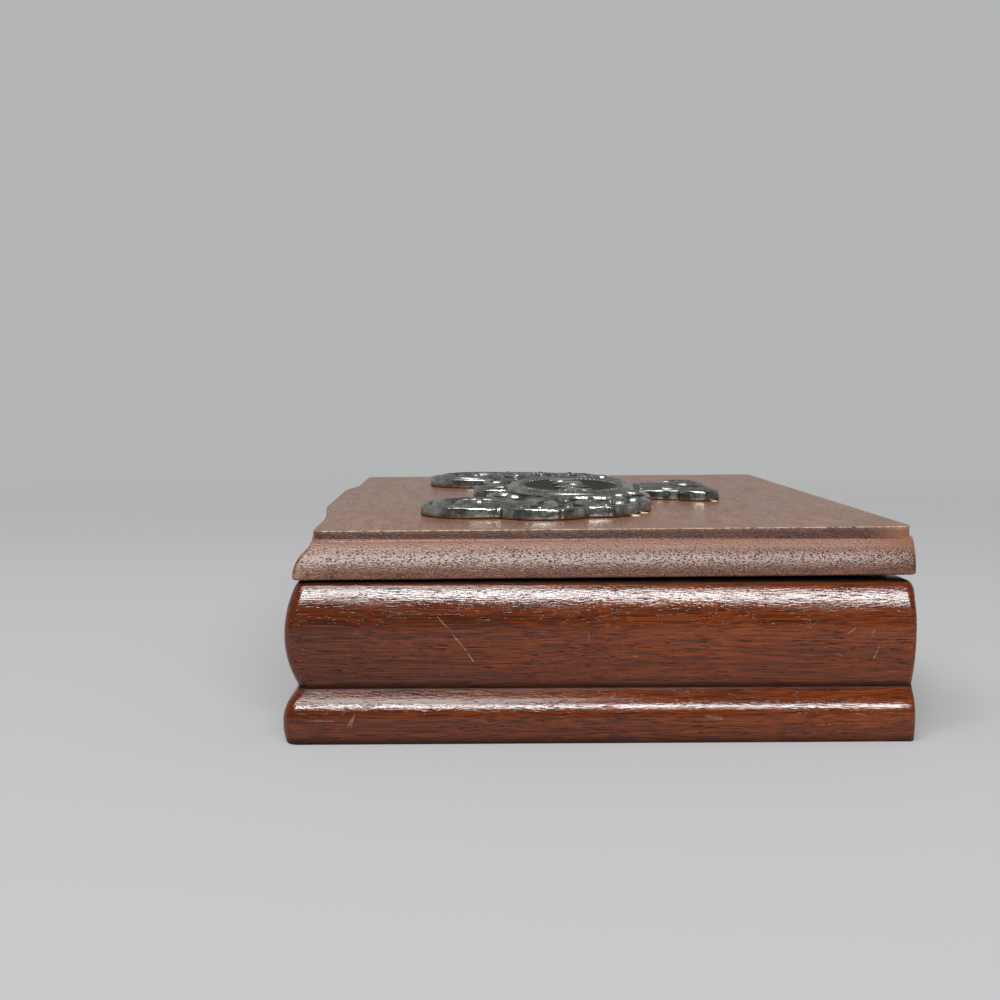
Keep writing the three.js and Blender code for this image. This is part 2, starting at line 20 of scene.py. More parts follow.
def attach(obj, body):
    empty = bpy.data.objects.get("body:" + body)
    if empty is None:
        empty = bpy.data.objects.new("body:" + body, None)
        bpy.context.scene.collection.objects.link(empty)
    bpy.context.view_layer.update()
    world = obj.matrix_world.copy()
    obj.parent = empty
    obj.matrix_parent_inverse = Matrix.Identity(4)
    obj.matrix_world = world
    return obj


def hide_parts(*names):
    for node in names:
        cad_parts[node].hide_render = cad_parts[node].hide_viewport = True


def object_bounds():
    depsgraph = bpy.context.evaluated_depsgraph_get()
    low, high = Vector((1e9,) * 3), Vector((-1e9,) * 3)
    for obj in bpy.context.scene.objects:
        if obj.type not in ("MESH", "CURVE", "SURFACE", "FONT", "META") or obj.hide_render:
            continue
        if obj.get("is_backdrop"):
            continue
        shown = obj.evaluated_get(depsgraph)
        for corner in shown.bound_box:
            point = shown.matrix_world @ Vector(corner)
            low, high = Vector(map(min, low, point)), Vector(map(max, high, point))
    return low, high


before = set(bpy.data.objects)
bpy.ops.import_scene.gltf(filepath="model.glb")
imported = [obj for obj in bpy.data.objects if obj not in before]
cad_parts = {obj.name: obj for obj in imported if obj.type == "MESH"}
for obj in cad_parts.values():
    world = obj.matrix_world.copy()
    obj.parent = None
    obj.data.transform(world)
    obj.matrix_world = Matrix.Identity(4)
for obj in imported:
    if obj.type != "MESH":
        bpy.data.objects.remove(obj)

log = logging.getLogger("card_box")

MM = 0.001
CAD_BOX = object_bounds()
Colour = tuple[float, float, float, float]
Point = tuple[float, float]
Point3 = tuple[float, float, float]
Material = bpy.types.Material
Socket = bpy.types.NodeSocket
Mesh = bmesh.types.BMesh


def srgb(red: float, green: float, blue: float) -> Colour:
    """Gives the linear colour of a screen colour.

    Args:
        red: red, from 0 to 255.
        green: green, from 0 to 255.
        blue: blue, from 0 to 255.

    Returns:
        Linear red, green and blue, with an alpha of 1.
    """
    parts = (channel / 255 for channel in (red, green, blue))
    linear = (p / 12.92 if p <= 0.04045 else ((p + 0.055) / 1.055) ** 2.4 for p in parts)
    return (*linear, 1.0)


class Grain(Enum):
    """The way that a board's grain runs."""

    ALONG_X = (1.0, 0.0, 0.0)
    ALONG_Y = (0.0, 1.0, 0.0)

    def stretch(self, factor: float) -> Point3:
        """Gives the stretch along X, Y and Z that draws a pattern out along the grain."""
        return tuple(1 + (factor - 1) * share for share in self.value)


class Side(Enum):
    """An end of the box."""

    LEFT = -1
    RIGHT = 1

    @property
    def word(self) -> str:
        """The side's word in the names of nodes."""
        return self.name.lower()


@dataclass(frozen=True)
class Layout:
    """Places that the sub-assemblies share, in millimetres."""

    back_y: float = 58.925
    inner_x: float = 67.75
    inner_front_y: float = -48.875
    inner_back_y: float = 50.925
    base_z: float = 10.1
    rim_z: float = 30.2
    panel_z: float = 4.2
    rebate_width: float = 4.0
    divider_half: float = 1.6
    divider_top: float = 28.0
    dado_depth: float = 2.5
    lid_front_y: float = -57.025
    lid_under: float = 30.85
    lid_top: float = 39.7
    hinge_x: float = 47.0
    hinge_y: float = 58.125
    hinge_z: float = 30.525
    leaf_length: float = 22.0
    leaf_reach: float = 6.2
    leaf_thickness: float = 0.9
    leaf_gap: float = 0.1
    barrel_radius: float = 1.3
    clearance: float = 0.15
    lid_tilt: float = 0.4

    def tilted(self, y: float) -> float:
        """Gives how far the slightly warped lid stands above its drawn place at y."""
        middle = (self.back_y + self.lid_front_y) / 2
        return self.lid_tilt * (y - middle) / (self.back_y - middle)


LAYOUT = Layout()


# Materials


class NodeBoard:
    """Lays out the nodes of one procedural material, whose patterns are measured in millimetres."""

    def __init__(self, name: str) -> None:
        """Starts a material that holds only a shader and its output.

        Args:
            name: the material's name.
        """
        self.material = bpy.data.materials.new(name)
        self.material.use_nodes = True
        self.nodes = self.material.node_tree.nodes
        self.links = self.material.node_tree.links
        self.nodes.clear()
        self.shader = self.nodes.new("ShaderNodeBsdfPrincipled")
        self.surface = self.nodes.new("ShaderNodeOutputMaterial").inputs["Surface"]
        self.links.new(self.shader.outputs["BSDF"], self.surface)
        self.own_space = self.nodes.new("ShaderNodeTexCoord").outputs["Object"]

    def feed(self, socket: Socket, value: object) -> None:
        """Links a socket to another one, or sets its value."""
        if isinstance(value, Socket):
            self.links.new(value, socket)
        else:
            socket.default_value = value

    def space(
        self, stretch: Sequence[float] = (1, 1, 1), shift: Sequence[float] = (0, 0, 0)
    ) -> Socket:
        """Gives the piece's own space in millimetres.

        Args:
            stretch: how far patterns are drawn out along X, Y and Z.
            shift: where the pattern starts, in its own millimetres.

        Returns:
            The socket that holds the place.
        """
        mapping = self.nodes.new("ShaderNodeMapping")
        mapping.inputs["Location"].default_value = shift
        mapping.inputs["Scale"].default_value = [1000 / s for s in stretch]
        self.links.new(self.own_space, mapping.inputs["Vector"])
        return mapping.outputs["Vector"]

    def cloud(
        self, space: Socket, per_mm: float, detail: float = 2.0, roughness: float = 0.5
    ) -> Socket:
        """Gives soft noise from 0 to 1.

        Args:
            space: the space that it lies in.
            per_mm: how many features a millimetre holds.
            detail: how many finer layers it has.
            roughness: how strong the finer layers are.

        Returns:
            The noise's socket.
        """
        node = self.nodes.new("ShaderNodeTexNoise")
        self.feed(node.inputs["Vector"], space)
        node.inputs["Scale"].default_value = per_mm
        node.inputs["Detail"].default_value = detail
        node.inputs["Roughness"].default_value = roughness
        return node.outputs["Fac"]

    def spots(self, space: Socket, per_mm: float) -> Socket:
        """Gives the distance to the nearest of many scattered spots."""
        node = self.nodes.new("ShaderNodeTexVoronoi")
        self.feed(node.inputs["Vector"], space)
        node.inputs["Scale"].default_value = per_mm
        return node.outputs["Distance"]

    def level(
        self, value: Socket, low: float, high: float, start: float = 0.0, end: float = 1.0
    ) -> Socket:
        """Maps a range of a value to another range, and clamps it there.

        Args:
            value: the value's socket.
            low: what becomes start.
            high: what becomes end.
            start: the result at low.
            end: the result at high.

        Returns:
            The mapped value's socket.
        """
        node = self.nodes.new("ShaderNodeMapRange")
        names = ("Value", "From Min", "From Max", "To Min", "To Max")
        for name, item in zip(names, (value, low, high, start, end)):
            self.feed(node.inputs[name], item)
        return node.outputs["Result"]

    def math(self, operation: str, first: object, second: object = 0.0) -> Socket:
        """Gives the result of one sum on two values."""
        node = self.nodes.new("ShaderNodeMath")
        node.operation = operation
        self.feed(node.inputs[0], first)
        self.feed(node.inputs[1], second)
        return node.outputs[0]

    def blend(self, share: object, under: object, over: object) -> Socket:
        """Lays one colour over another.

        Args:
            share: how much of the upper colour shows.
            under: the lower colour.
            over: the upper colour.

        Returns:
            The mixed colour's socket.
        """
        node = self.nodes.new("ShaderNodeMix")
        node.data_type = "RGBA"
        self.feed(node.inputs[0], share)
        self.feed(node.inputs[6], under)
        self.feed(node.inputs[7], over)
        return node.outputs[2]

    def weighed(self, value: object, weight: object) -> Socket:
        """Gives one value times another."""
        return self.math("MULTIPLY", value, weight)

    def mixed(self, share: Socket, start: object, end: object) -> Socket:
        """Gives start where a share is 0 and end where it is 1."""
        return self.level(share, 0, 1, start, end)

    def painted(self, name: str) -> Socket:
        """Gives a value that is painted on the piece's vertices."""
        node = self.nodes.new("ShaderNodeAttribute")
        node.attribute_name = name
        return node.outputs["Fac"]

    def swayed(self, space: Socket, per_mm: float, by: float) -> Socket:
        """Bends a space with soft noise, so that a pattern in it doesn't run dead straight.

        Args:
            space: the space to bend.
            per_mm: how many bends a millimetre holds.
            by: how far they reach, in the pattern's own millimetres.

        Returns:
            The bent space's socket.
        """
        hills = self.cloud(self.space(), per_mm).node.outputs["Color"]
        bent = self.nodes.new("ShaderNodeVectorMath")
        bent.operation = "MULTIPLY_ADD"
        self.feed(bent.inputs[0], hills)
        self.feed(bent.inputs[1], (by, by, by))
        self.feed(bent.inputs[2], space)
        return bent.outputs["Vector"]

    def part(self, space: Socket, axis: int) -> Socket:
        """Gives one of a space's three coordinates."""
        node = self.nodes.new("ShaderNodeSeparateXYZ")
        self.feed(node.inputs[0], space)
        return node.outputs[axis]

    def stroke(
        self, space: Socket, start: Sequence[float], end: Sequence[float], width: float
    ) -> Socket:
        """Gives a mask, 1 inside a straight stroke and 0 outside it.

        Args:
            space: the space in millimetres.
            start: one end of the stroke.
            end: its other end.
            width: its width in millimetres.

        Returns:
            The mask's socket.
        """
        run = Vector(end) - Vector(start)

        def vector(operation: str, first: object, second: object) -> bpy.types.ShaderNode:
            """Adds a sum on two vectors."""
            node = self.nodes.new("ShaderNodeVectorMath")
            node.operation = operation
            self.feed(node.inputs[0], first)
            self.feed(node.inputs[1], second)
            return node

        away = vector("SUBTRACT", space, start).outputs["Vector"]
        share = vector("DOT_PRODUCT", away, run / run.length_squared).outputs["Value"]
        clamped = self.level(share, 0, 1)
        along = self.nodes.new("ShaderNodeVectorMath")
        along.operation = "SCALE"
        along.inputs[0].default_value = run
        self.feed(along.inputs["Scale"], clamped)
        gap = vector("SUBTRACT", away, along.outputs["Vector"]).outputs["Vector"]
        distance = vector("LENGTH", gap, (0, 0, 0)).outputs["Value"]
        return self.level(distance, width / 2, width, 1, 0)

    def bump(self, height: Socket, depth: float = 1.0) -> Socket:
        """Roughens the surface with a height.

        Args:
            height: the height's socket.
            depth: how many millimetres a height of 1 stands for.

        Returns:
            The roughened normal's socket.
        """
        node = self.nodes.new("ShaderNodeBump")
        node.inputs["Strength"].default_value = 1.0
        node.inputs["Distance"].default_value = depth * MM
        self.feed(node.inputs["Height"], height)
        return node.outputs["Normal"]

    def dress(self, **values: object) -> Material:
        """Feeds the shader's sockets and gives the material.

        Args:
            **values: what each socket gets, under its name with underscores for spaces.

        Returns:
            The finished material.
        """
        for name, value in values.items():
            self.feed(self.shader.inputs[name.replace("_", " ")], value)
        return self.material


@dataclass(frozen=True)
class Mark:
    """A pale scratch or nick on the right end, as places along Y and Z in millimetres."""

    start: Point
    end: Point
    width: float = 0.2
    strength: float = 0.8


END_MARKS = (
    Mark((-30.2, 23.9), (-28.2, 21.7), 0.1, 0.5),
    Mark((-27.3, 20.5), (-24.9, 17.6), 0.12, 0.6),
    Mark((-24.6, 17.0), (-23.6, 15.5), 0.14, 0.5),
    Mark((-46.2, 3.4), (-45.5, 5.9), 0.13, 0.45),
    Mark((-46.7, 3.6), (-46.1, 4.9), 0.2, 0.35),
    Mark((-52.6, 4.7), (-49.3, 4.6), 0.08, 0.4),
    Mark((-2.3, 21.2), (-2.3, 19.5), 0.1, 0.3),
    Mark((-29.6, 13.9), (-29.5, 12.8), 0.1, 0.25),
    Mark((45.8, 20.6), (47.1, 21.5), 0.16, 0.35),
    Mark((50.3, 20.7), (50.9, 21.3), 0.16, 0.35),
    Mark((51.7, 18.1), (50.8, 15.7), 0.12, 0.5),
    Mark((43.6, 16.7), (44.8, 16.5), 0.12, 0.35),
    Mark((53.8, 13.1), (55.4, 13.1), 0.14, 0.3),
    Mark((37.3, 23.3), (38.8, 23.0), 0.12, 0.35),
    Mark((37.8, 21.9), (38.9, 21.7), 0.12, 0.3),
    Mark((35.0, 24.4), (35.8, 24.4), 0.12, 0.3),
    Mark((31.7, 22.5), (31.9, 22.5), 0.18, 0.5),
    Mark((6.2, 16.4), (6.7, 16.3), 0.2, 0.35),
    Mark((19.6, 5.2), (22.4, 4.8), 0.4, 0.25),
    Mark((47.4, 5.6), (49.2, 5.3), 0.12, 0.35),
    Mark((1.6, 8.3), (2.8, 9.0), 0.12, 0.25),
)


@dataclass(frozen=True)
class Mahogany:
    """Mahogany under lacquer, with its open pores drawn out along the grain."""

    name: str
    grain: Grain
    pale: Colour = srgb(122, 62, 22)
    light: Colour = srgb(101, 43, 8)
    middle: Colour = srgb(78, 31, 8)
    dark: Colour = srgb(34, 15, 9)
    pore: Colour = srgb(14, 7, 6)
    worn: Colour = srgb(158, 134, 114)
    # Near-black colour of the painted shade under the lid's edge, along the base's joint and near
    # the ground.
    grime: Colour = srgb(16, 10, 8)
    gloss: float = 0.1
    matt_patches: float = 0.07
    shine: float = 0.5
    pore_shine: float = 0.1
    worn_matt: float = 0.25
    # Roughness and reflection of the painted shade, which keep it dull.
    grime_rough: float = 0.8
    grime_shine: float = 0.1
    peel: float = 0.024
    pore_depth: float = 0.012
    start: float = 0.0
    warmer: Point | None = None
    marks: tuple[Mark, ...] = ()
    marked_from: Point = (71.0, 72.0)

    def body(self, board: NodeBoard) -> tuple[Socket, ...]:
        """Lays out the sound wood.

        Args:
            board: the material's nodes.

        Returns:
            Its colour, its roughness, its reflection and its height in millimetres.
        """

        def run(factor: float, shift: float = 0.0) -> Socket:
            """Gives the wood's space, drawn out along its grain, with a little sway."""
            moved = self.start + shift
            shifts = (moved, 1.7 * moved, 0.6 * moved)
            straight = board.space(self.grain.stretch(factor), shifts)
            return board.swayed(straight, per_mm=0.03, by=1.8)

        # Broad warmer and colder stretches, growth bands and fine fibres.
        broad = board.cloud(run(5), 0.07, 3, 0.6)
        if self.warmer:
            along = board.part(board.space(), 1)
            broad = board.math("ADD", broad, board.level(along, *self.warmer, -0.3, 0.14))
        bands = board.cloud(run(26, 3), 0.95, 3, 0.6)
        fibres = board.cloud(run(30, 7), 5.4, 3, 0.65)
        lit = board.level(board.math("ADD", broad, board.weighed(bands, 0.7)), 0.6, 1.08)
        colour = board.blend(lit, self.middle, self.light)
        colour = board.blend(board.level(bands, 0.5, 0.34, 0, 0.38), colour, self.dark)
        colour = board.blend(board.level(fibres, 0.51, 0.39, 0, 0.8), colour, self.dark)
        colour = board.blend(board.level(fibres, 0.55, 0.66, 0, 0.5), colour, self.pale)

        # Long and short open pores, fewer in some places than in others.
        long_pores = board.level(board.spots(run(16, 11), 2.4), 0.23, 0.14)
        short_pores = board.level(board.spots(run(7, 29), 3.2), 0.23, 0.13)
        room = board.level(board.cloud(run(8, 5), 0.4), 0.36, 0.56, 0.3, 1)
        pores = board.weighed(board.math("MAXIMUM", long_pores, short_pores), room)
        colour = board.blend(board.weighed(pores, 0.92), colour, self.pore)

        # Lacquer with duller patches, which sinks into the pores and has a slight peel.
        dull = board.cloud(run(3, 31), 0.3, 3)
        rough = board.level(dull, 0.35, 0.7, self.gloss, self.gloss + self.matt_patches)
        rough = board.math("ADD", rough, board.weighed(pores, 0.15))
        shine = board.mixed(pores, self.shine, self.pore_shine * self.shine)
        fine = board.weighed(board.cloud(run(6, 19), 4.0, 2, 0.5), self.peel)
        slow = board.weighed(board.cloud(run(3, 23), 0.4), 1.4 * self.peel)
        sunk = board.weighed(pores, -self.pore_depth)
        return colour, rough, shine, board.math("ADD", board.math("ADD", fine, slow), sunk)

    def scratches(self, board: NodeBoard) -> Socket:
        """Draws the marks on the right end's outer face."""
        across = board.space((1e6, 1, 1))
        broken = board.level(board.cloud(board.space(), 3.4, 3, 0.6), 0.38, 0.56, 0.1, 1)
        outside = board.level(board.part(board.space(), 0), *self.marked_from)
        drawn: object = 0.0
        for mark in self.marks:
            mask = board.stroke(across, (0, *mark.start), (0, *mark.end), mark.width)
            drawn = board.math("MAXIMUM", board.weighed(mask, mark.strength), drawn)
        return board.weighed(drawn, board.weighed(broken, outside))

    def wear(self, board: NodeBoard) -> Socket:
        """Gives where the wood is worn: on painted arrises, in strewn nicks and in the marks."""
        patches = board.level(board.cloud(board.space(self.grain.stretch(3)), 1.1, 3), 0.3, 0.6)
        worn = board.weighed(board.painted("wear"), patches)
        groups = board.cloud(board.space(shift=(5, 3, 8)), 0.12, 3)
        strewn = board.level(groups, 0.5, 0.58, 0, 0.6)
        spots = board.spots(board.space(self.grain.stretch(1.6), (2, 4, 6)), 0.34)
        worn = board.math("MAXIMUM", worn, board.weighed(board.level(spots, 0.045, 0.025), strewn))
        if self.marks:
            worn = board.math("MAXIMUM", worn, self.scratches(board))
        return worn

    def material(self) -> Material:
        """Makes the material, with wear, marks and painted shade on the wood."""
        board = NodeBoard(self.name)
        colour, rough, shine, height = self.body(board)
        worn = self.wear(board)
        colour = board.blend(worn, colour, self.worn)
        rough = board.math("ADD", rough, board.weighed(worn, self.worn_matt))
        # Painted shade: where a rail's vertices carry it, the wood turns near-black, rough and
        # dull, a little mottled.
        shade_mottle = board.cloud(board.space(self.grain.stretch(4)), 0.9, 3)
        dirt = board.weighed(board.painted("grime"), board.level(shade_mottle, 0.3, 0.5, 0.8, 1))
        return board.dress(
            Base_Color=board.blend(dirt, colour, self.grime),
            Roughness=board.mixed(dirt, rough, self.grime_rough),
            Normal=board.bump(height),
            Specular_IOR_Level=board.mixed(dirt, shine, self.grime_shine),
        )


@dataclass(frozen=True)
class LidMahogany(Mahogany):
    """The lid's mahogany: satin on top, with dark stippled end grain on its moulded ends."""

    pale: Colour = srgb(144, 102, 78)
    light: Colour = srgb(133, 91, 69)
    middle: Colour = srgb(119, 79, 61)
    dark: Colour = srgb(98, 66, 52)
    pore: Colour = srgb(62, 39, 31)
    worn: Colour = srgb(184, 150, 126)
    gloss: float = 0.29
    peel: float = 0.006
    pore_depth: float = 0.01
    end_pale: Colour = srgb(112, 70, 52)
    end_dark: Colour = srgb(48, 25, 18)
    end_pit: Colour = srgb(18, 10, 8)
    # Colour of the dust and the painted sheen in the cove.
    end_dust: Colour = srgb(146, 112, 98)
    end_gloss: float = 0.29
    end_shine: float = 0.6
    pit_shine: float = 0.3
    stipple: float = 0.06
    # Heights of the cove's dust and painted sheen, and of the fillet's painted shade.
    cove: Point = (35.6, 36.6)
    fillet: Point = (37.75, 37.9)

    def body(self, board: NodeBoard) -> tuple[Socket, ...]:
        """Lays the end grain over the sound wood where it is painted.

        Args:
            board: the material's nodes.

        Returns:
            The colour, the roughness, the reflection and the height in millimetres.
        """
        colour, rough, shine, relief = super().body(board)
        end = board.painted("end")

        # Stippled end grain with its pits.
        speckle = board.cloud(board.space((5, 1.9, 1), (3, 9, 4)), 3.6, 3, 0.7)
        pits = board.level(board.spots(board.space((5, 2.2, 1), (7, 2, 5)), 3.2), 0.4, 0.18)
        streaks = board.cloud(board.space((6, 7, 1), (1, 4, 8)), 1.1, 2)
        tone = board.math("ADD", board.weighed(speckle, 0.75), board.weighed(streaks, 0.25))
        grain = board.blend(board.level(tone, 0.38, 0.62), self.end_dark, self.end_pale)

        # Dust and a painted sheen lie in the cove, and painted shade darkens the fillet above it.
        height = board.part(board.space(), 2)
        deep = board.level(height, *self.fillet)
        dust_and_sheen = board.weighed(board.level(height, *self.cove), board.mixed(deep, 0.55, 0))
        grain = board.blend(dust_and_sheen, grain, self.end_dust)
        grain = board.blend(board.weighed(deep, 0.55), grain, self.end_dark)
        grain = board.blend(board.weighed(pits, 0.5), grain, self.end_pit)

        coarse = board.cloud(board.space((5, 2.1, 1), (5, 5, 1)), 4.6, 2)
        lumps = board.weighed(coarse, self.stipple)
        sunk = board.weighed(pits, -0.6 * self.stipple)
        end_shine = board.mixed(pits, self.end_shine, self.pit_shine * self.end_shine)
        return (
            board.blend(end, colour, grain),
            board.mixed(end, rough, self.end_gloss),
            board.mixed(end, shine, end_shine),
            board.mixed(end, relief, board.math("ADD", lumps, sunk)),
        )


@dataclass(frozen=True)
class CastPewter:
    """Dark antiqued white metal, rubbed bright where it stands proud."""

    name: str = "cast_pewter"
    bright: Colour = srgb(176, 177, 170)
    mid: Colour = srgb(128, 129, 122)
    hollow: Colour = srgb(36, 36, 31)
    face_rough: Point = (0.34, 0.6)
    wall_rough: Point = (0.1, 0.26)
    waves: Point = (0.08, 0.34)
    file_depth: float = 0.03
    grit_depth: float = 0.02

    def material(self) -> Material:
        """Makes the material."""
        board = NodeBoard(self.name)
        plain = board.space()
        clouds = board.cloud(plain, 0.5, 4, 0.6)
        grit = board.cloud(plain, 3.5, 3, 0.6)

        # Patina in the hollows, over metal that is rubbed in patches.
        depth = board.math("ADD", board.painted("hollow"), board.weighed(clouds, 0.5))
        dirt = board.level(depth, 0.6, 1.05)
        colour = board.blend(board.level(clouds, 0.35, 0.65), self.mid, self.bright)
        colour = board.blend(dirt, colour, self.hollow)

        # The filed walls are smoother than the faces, and wavier towards the two ends.
        dull = board.math("ADD", dirt, board.weighed(grit, 0.4))
        face = board.level(dull, 0.1, 1.3, *self.face_rough)
        wall = board.level(grit, 0.3, 0.7, *self.wall_rough)
        rough = board.mixed(board.painted("walls"), face, wall)
        facets = board.mixed(board.painted("facets"), *self.waves)
        waves = board.weighed(board.cloud(board.space((1, 1, 3)), 0.6, 1), facets)
        strokes = board.cloud(board.space((1, 1, 6), (2, 5, 1)), 2.6, 2)
        filed = board.weighed(strokes, self.file_depth)
        height = board.math("ADD", waves, filed)
        height = board.math("ADD", height, board.weighed(grit, self.grit_depth))
        return board.dress(
            Base_Color=colour, Roughness=rough, Normal=board.bump(height), Metallic=1.0
        )


@dataclass(frozen=True)
class AgedBrass:
    """Brass that has gone dull, with brighter rubbed patches."""

    name: str = "aged_brass"
    bright: Colour = srgb(208, 176, 112)
    dull: Colour = srgb(154, 124, 74)
    rough: Point = (0.45, 0.25)
    scuff_depth: float = 0.02

    def material(self) -> Material:
        """Makes the material."""
        board = NodeBoard(self.name)
        clouds = board.cloud(board.space(), 0.7, 4, 0.6)
        scuffs = board.cloud(board.space((9, 1, 1)), 3.0, 3)
        rubbed = board.math("ADD", clouds, scuffs)
        return board.dress(
            Base_Color=board.blend(board.level(clouds, 0.35, 0.65), self.dull, self.bright),
            Roughness=board.level(rubbed, 0.7, 1.3, *self.rough),
            Normal=board.bump(scuffs, self.scuff_depth),
            Metallic=1.0,
        )


@dataclass(frozen=True)
class Baize:
    """Green wool baize: a short felted nap of crossing fibres."""

    name: str = "green_baize"
    light: Colour = srgb(46, 92, 62)
    dark: Colour = srgb(20, 52, 34)
    sheen: Colour = srgb(120, 170, 130)
    nap_depth: float = 0.25

    def material(self) -> Material:
        """Makes the material."""
        board = NodeBoard(self.name)
        one = board.cloud(board.space((5, 1, 1)), 3.0, 3, 0.7)
        other = board.cloud(board.space((1, 5, 1), (4, 9, 2)), 3.0, 3, 0.7)
        fibres = board.math("MAXIMUM", one, other)
        worn = board.level(board.cloud(board.space(), 0.08, 3), 0.4, 0.7, -0.15, 0.15)
        lit = board.math("ADD", board.level(fibres, 0.4, 0.7), worn)
        return board.dress(
            Base_Color=board.blend(lit, self.dark, self.light),
            Roughness=0.95,
            Normal=board.bump(fibres, self.nap_depth),
            Sheen_Weight=0.35,
            Sheen_Roughness=0.5,
            Sheen_Tint=self.sheen,
        )


@dataclass(frozen=True)
class SealedPlywood:
    """Plain sealed plywood under the baize."""

    name: str = "sealed_plywood"
    light: Colour = srgb(168, 126, 84)
    dark: Colour = srgb(120, 82, 52)

    def material(self) -> Material:
        """Makes the material."""
        board = NodeBoard(self.name)
        fibres = board.cloud(board.space((18, 1, 1)), 1.2, 4, 0.6)
        colour = board.blend(board.level(fibres, 0.35, 0.65), self.dark, self.light)
        return board.dress(Base_Color=colour, Roughness=0.6, Normal=board.bump(fibres, 0.05))


@dataclass(frozen=True)
class AmberGlue:
    """Dried amber glue, a little cloudy."""

    name: str = "amber_glue"
    light: Colour = srgb(212, 198, 166)
    dark: Colour = srgb(166, 146, 112)

    def material(self) -> Material:
        """Makes the material."""
        board = NodeBoard(self.name)
        clouds = board.cloud(board.space(), 1.2, 3)
        colour = board.blend(board.level(clouds, 0.35, 0.65), self.dark, self.light)
        return board.dress(Base_Color=colour, Roughness=0.35, Normal=board.bump(clouds, 0.1))


# Meshes


def sweep(
    section: Sequence[Point],
    stations: Sequence[object],
    place: Callable[[int, object], Vector],
    wear: Callable[[object], float] | None = None,
) -> Mesh:
    """Extrudes a closed section through stations.

    Args:
        section: the section's points, of which only their number matters here.
        stations: what place takes for each ring.
        place: gives where the point of a number lies at a station.
        wear: gives how worn a station is.

    Returns:
        A closed mesh.
    """
    bm = bmesh.new()
    order = bm.verts.layers.int.new("order")
    worn = painted(bm, "wear")
    ring = []
    for i in range(len(section)):
        vertex = bm.verts.new(place(i, stations[0]))
        vertex[order] = i
        vertex[worn] = wear(stations[0]) if wear else 0.0
        ring.append(vertex)
    face = bm.faces.new(ring)
    for number, station in enumerate(stations[1:]):
        made = bmesh.ops.extrude_face_region(bm, geom=[face], use_keep_orig=True)
        if number:
            bmesh.ops.delete(bm, geom=[face], context="FACES_ONLY")
        face = next(item for item in made["geom"] if isinstance(item, bmesh.types.BMFace))
        for vertex in face.verts:
            vertex.co = place(vertex[order], station)
            vertex[worn] = wear(station) if wear else 0.0
    bmesh.ops.remove_doubles(bm, verts=bm.verts, dist=1e-4)
    bmesh.ops.recalc_face_normals(bm, faces=bm.faces)
    return bm


def block(low: Sequence[float], high: Sequence[float], arris: float = 0.0) -> Mesh:
    """Makes a box with eased arrises.

    Args:
        low: its lowest corner.
        high: its highest corner.
        arris: the radius of its edges.

    Returns:
        A closed mesh.
    """
    bm = bmesh.new()
    bmesh.ops.create_cube(bm, size=1)
    size = [h - l for l, h in zip(low, high)]
    middle = [(h + l) / 2 for l, h in zip(low, high)]
    bmesh.ops.scale(bm, vec=size, verts=bm.verts)
    bmesh.ops.translate(bm, vec=middle, verts=bm.verts)
    if arris:
        ease(bm, bm.edges, arris)
    return bm


def ease(bm: Mesh, edges: Iterable[bmesh.types.BMEdge], radius: float, segments: int = 2) -> None:
    """Rounds edges over.

    Args:
        bm: the mesh.
        edges: its edges to round.
        radius: the rounding's width.
        segments: the faces across it.
    """
    bmesh.ops.bevel(
        bm,
        geom=list(edges),
        offset=radius,
        offset_type="OFFSET",
        affect="EDGES",
        segments=segments,
        profile=0.5,
        material=-1,
        clamp_overlap=True,
    )


def rod(radius: float, start: Vector, end: Vector, sides: int = 40, arris: float = 0.0) -> Mesh:
    """Makes a round bar between two points, with eased ends.

    Args:
        radius: its radius.
        start: the middle of one end.
        end: the middle of the other.
        sides: the faces round it.
        arris: the rounding at its ends.

    Returns:
        A closed mesh.
    """
    bm = bmesh.new()
    run = end - start
    bmesh.ops.create_cone(
        bm, cap_ends=True, segments=sides, radius1=radius, radius2=radius, depth=run.length
    )
    if arris:
        rims = [e for e in bm.edges if abs(e.verts[0].co.z - e.verts[1].co.z) < 1e-6]
        ease(bm, rims, arris, 3)
    turn = run.to_track_quat("Z", "Y").to_matrix().to_4x4()
    bm.transform(Matrix.Translation((start + end) / 2) @ turn)
    return bm


def joined(parts: Iterable[Mesh]) -> Mesh:
    """Puts several meshes into one, and frees them."""
    whole = bmesh.new()
    for part in parts:
        mesh = bpy.data.meshes.new("part")
        part.to_mesh(mesh)
        part.free()
        whole.from_mesh(mesh)
        bpy.data.meshes.remove(mesh)
    return whole


def scratch_object(bm: Mesh, name: str) -> bpy.types.Object:
    """Makes an object of a mesh that is still in millimetres, and frees the mesh."""
    mesh = bpy.data.meshes.new(name)
    bm.to_mesh(mesh)
    bm.free()
    made = bpy.data.objects.new(name, mesh)
    bpy.context.scene.collection.objects.link(made)
    return made


def evaluated(worked: bpy.types.Object) -> Mesh:
    """Gives an object's mesh with its modifiers applied, and removes the object."""
    depsgraph = bpy.context.evaluated_depsgraph_get()
    mesh = bpy.data.meshes.new_from_object(worked.evaluated_get(depsgraph))
    bm = bmesh.new()
    bm.from_mesh(mesh)
    bpy.data.meshes.remove(mesh)
    bpy.data.objects.remove(worked)
    return bm


def carved(bm: Mesh, tools: Iterable[Mesh], operation: str = "DIFFERENCE") -> Mesh:
    """Cuts tools out of a mesh, or joins them to it.

    Args:
        bm: the mesh, which is freed.
        tools: the meshes that cut it, which are freed too.
        operation: DIFFERENCE to cut, UNION to join.

    Returns:
        The worked mesh.
    """
    worked = scratch_object(bm, "worked")
    cutters = [scratch_object(tool, "cutter") for tool in tools]
    for cutter in cutters:
        step = worked.modifiers.new("carve", "BOOLEAN")
        step.operation = operation
        step.solver = "EXACT"
        step.object = cutter
    result = evaluated(worked)
    for cutter in cutters:
        bpy.data.objects.remove(cutter)
    return result


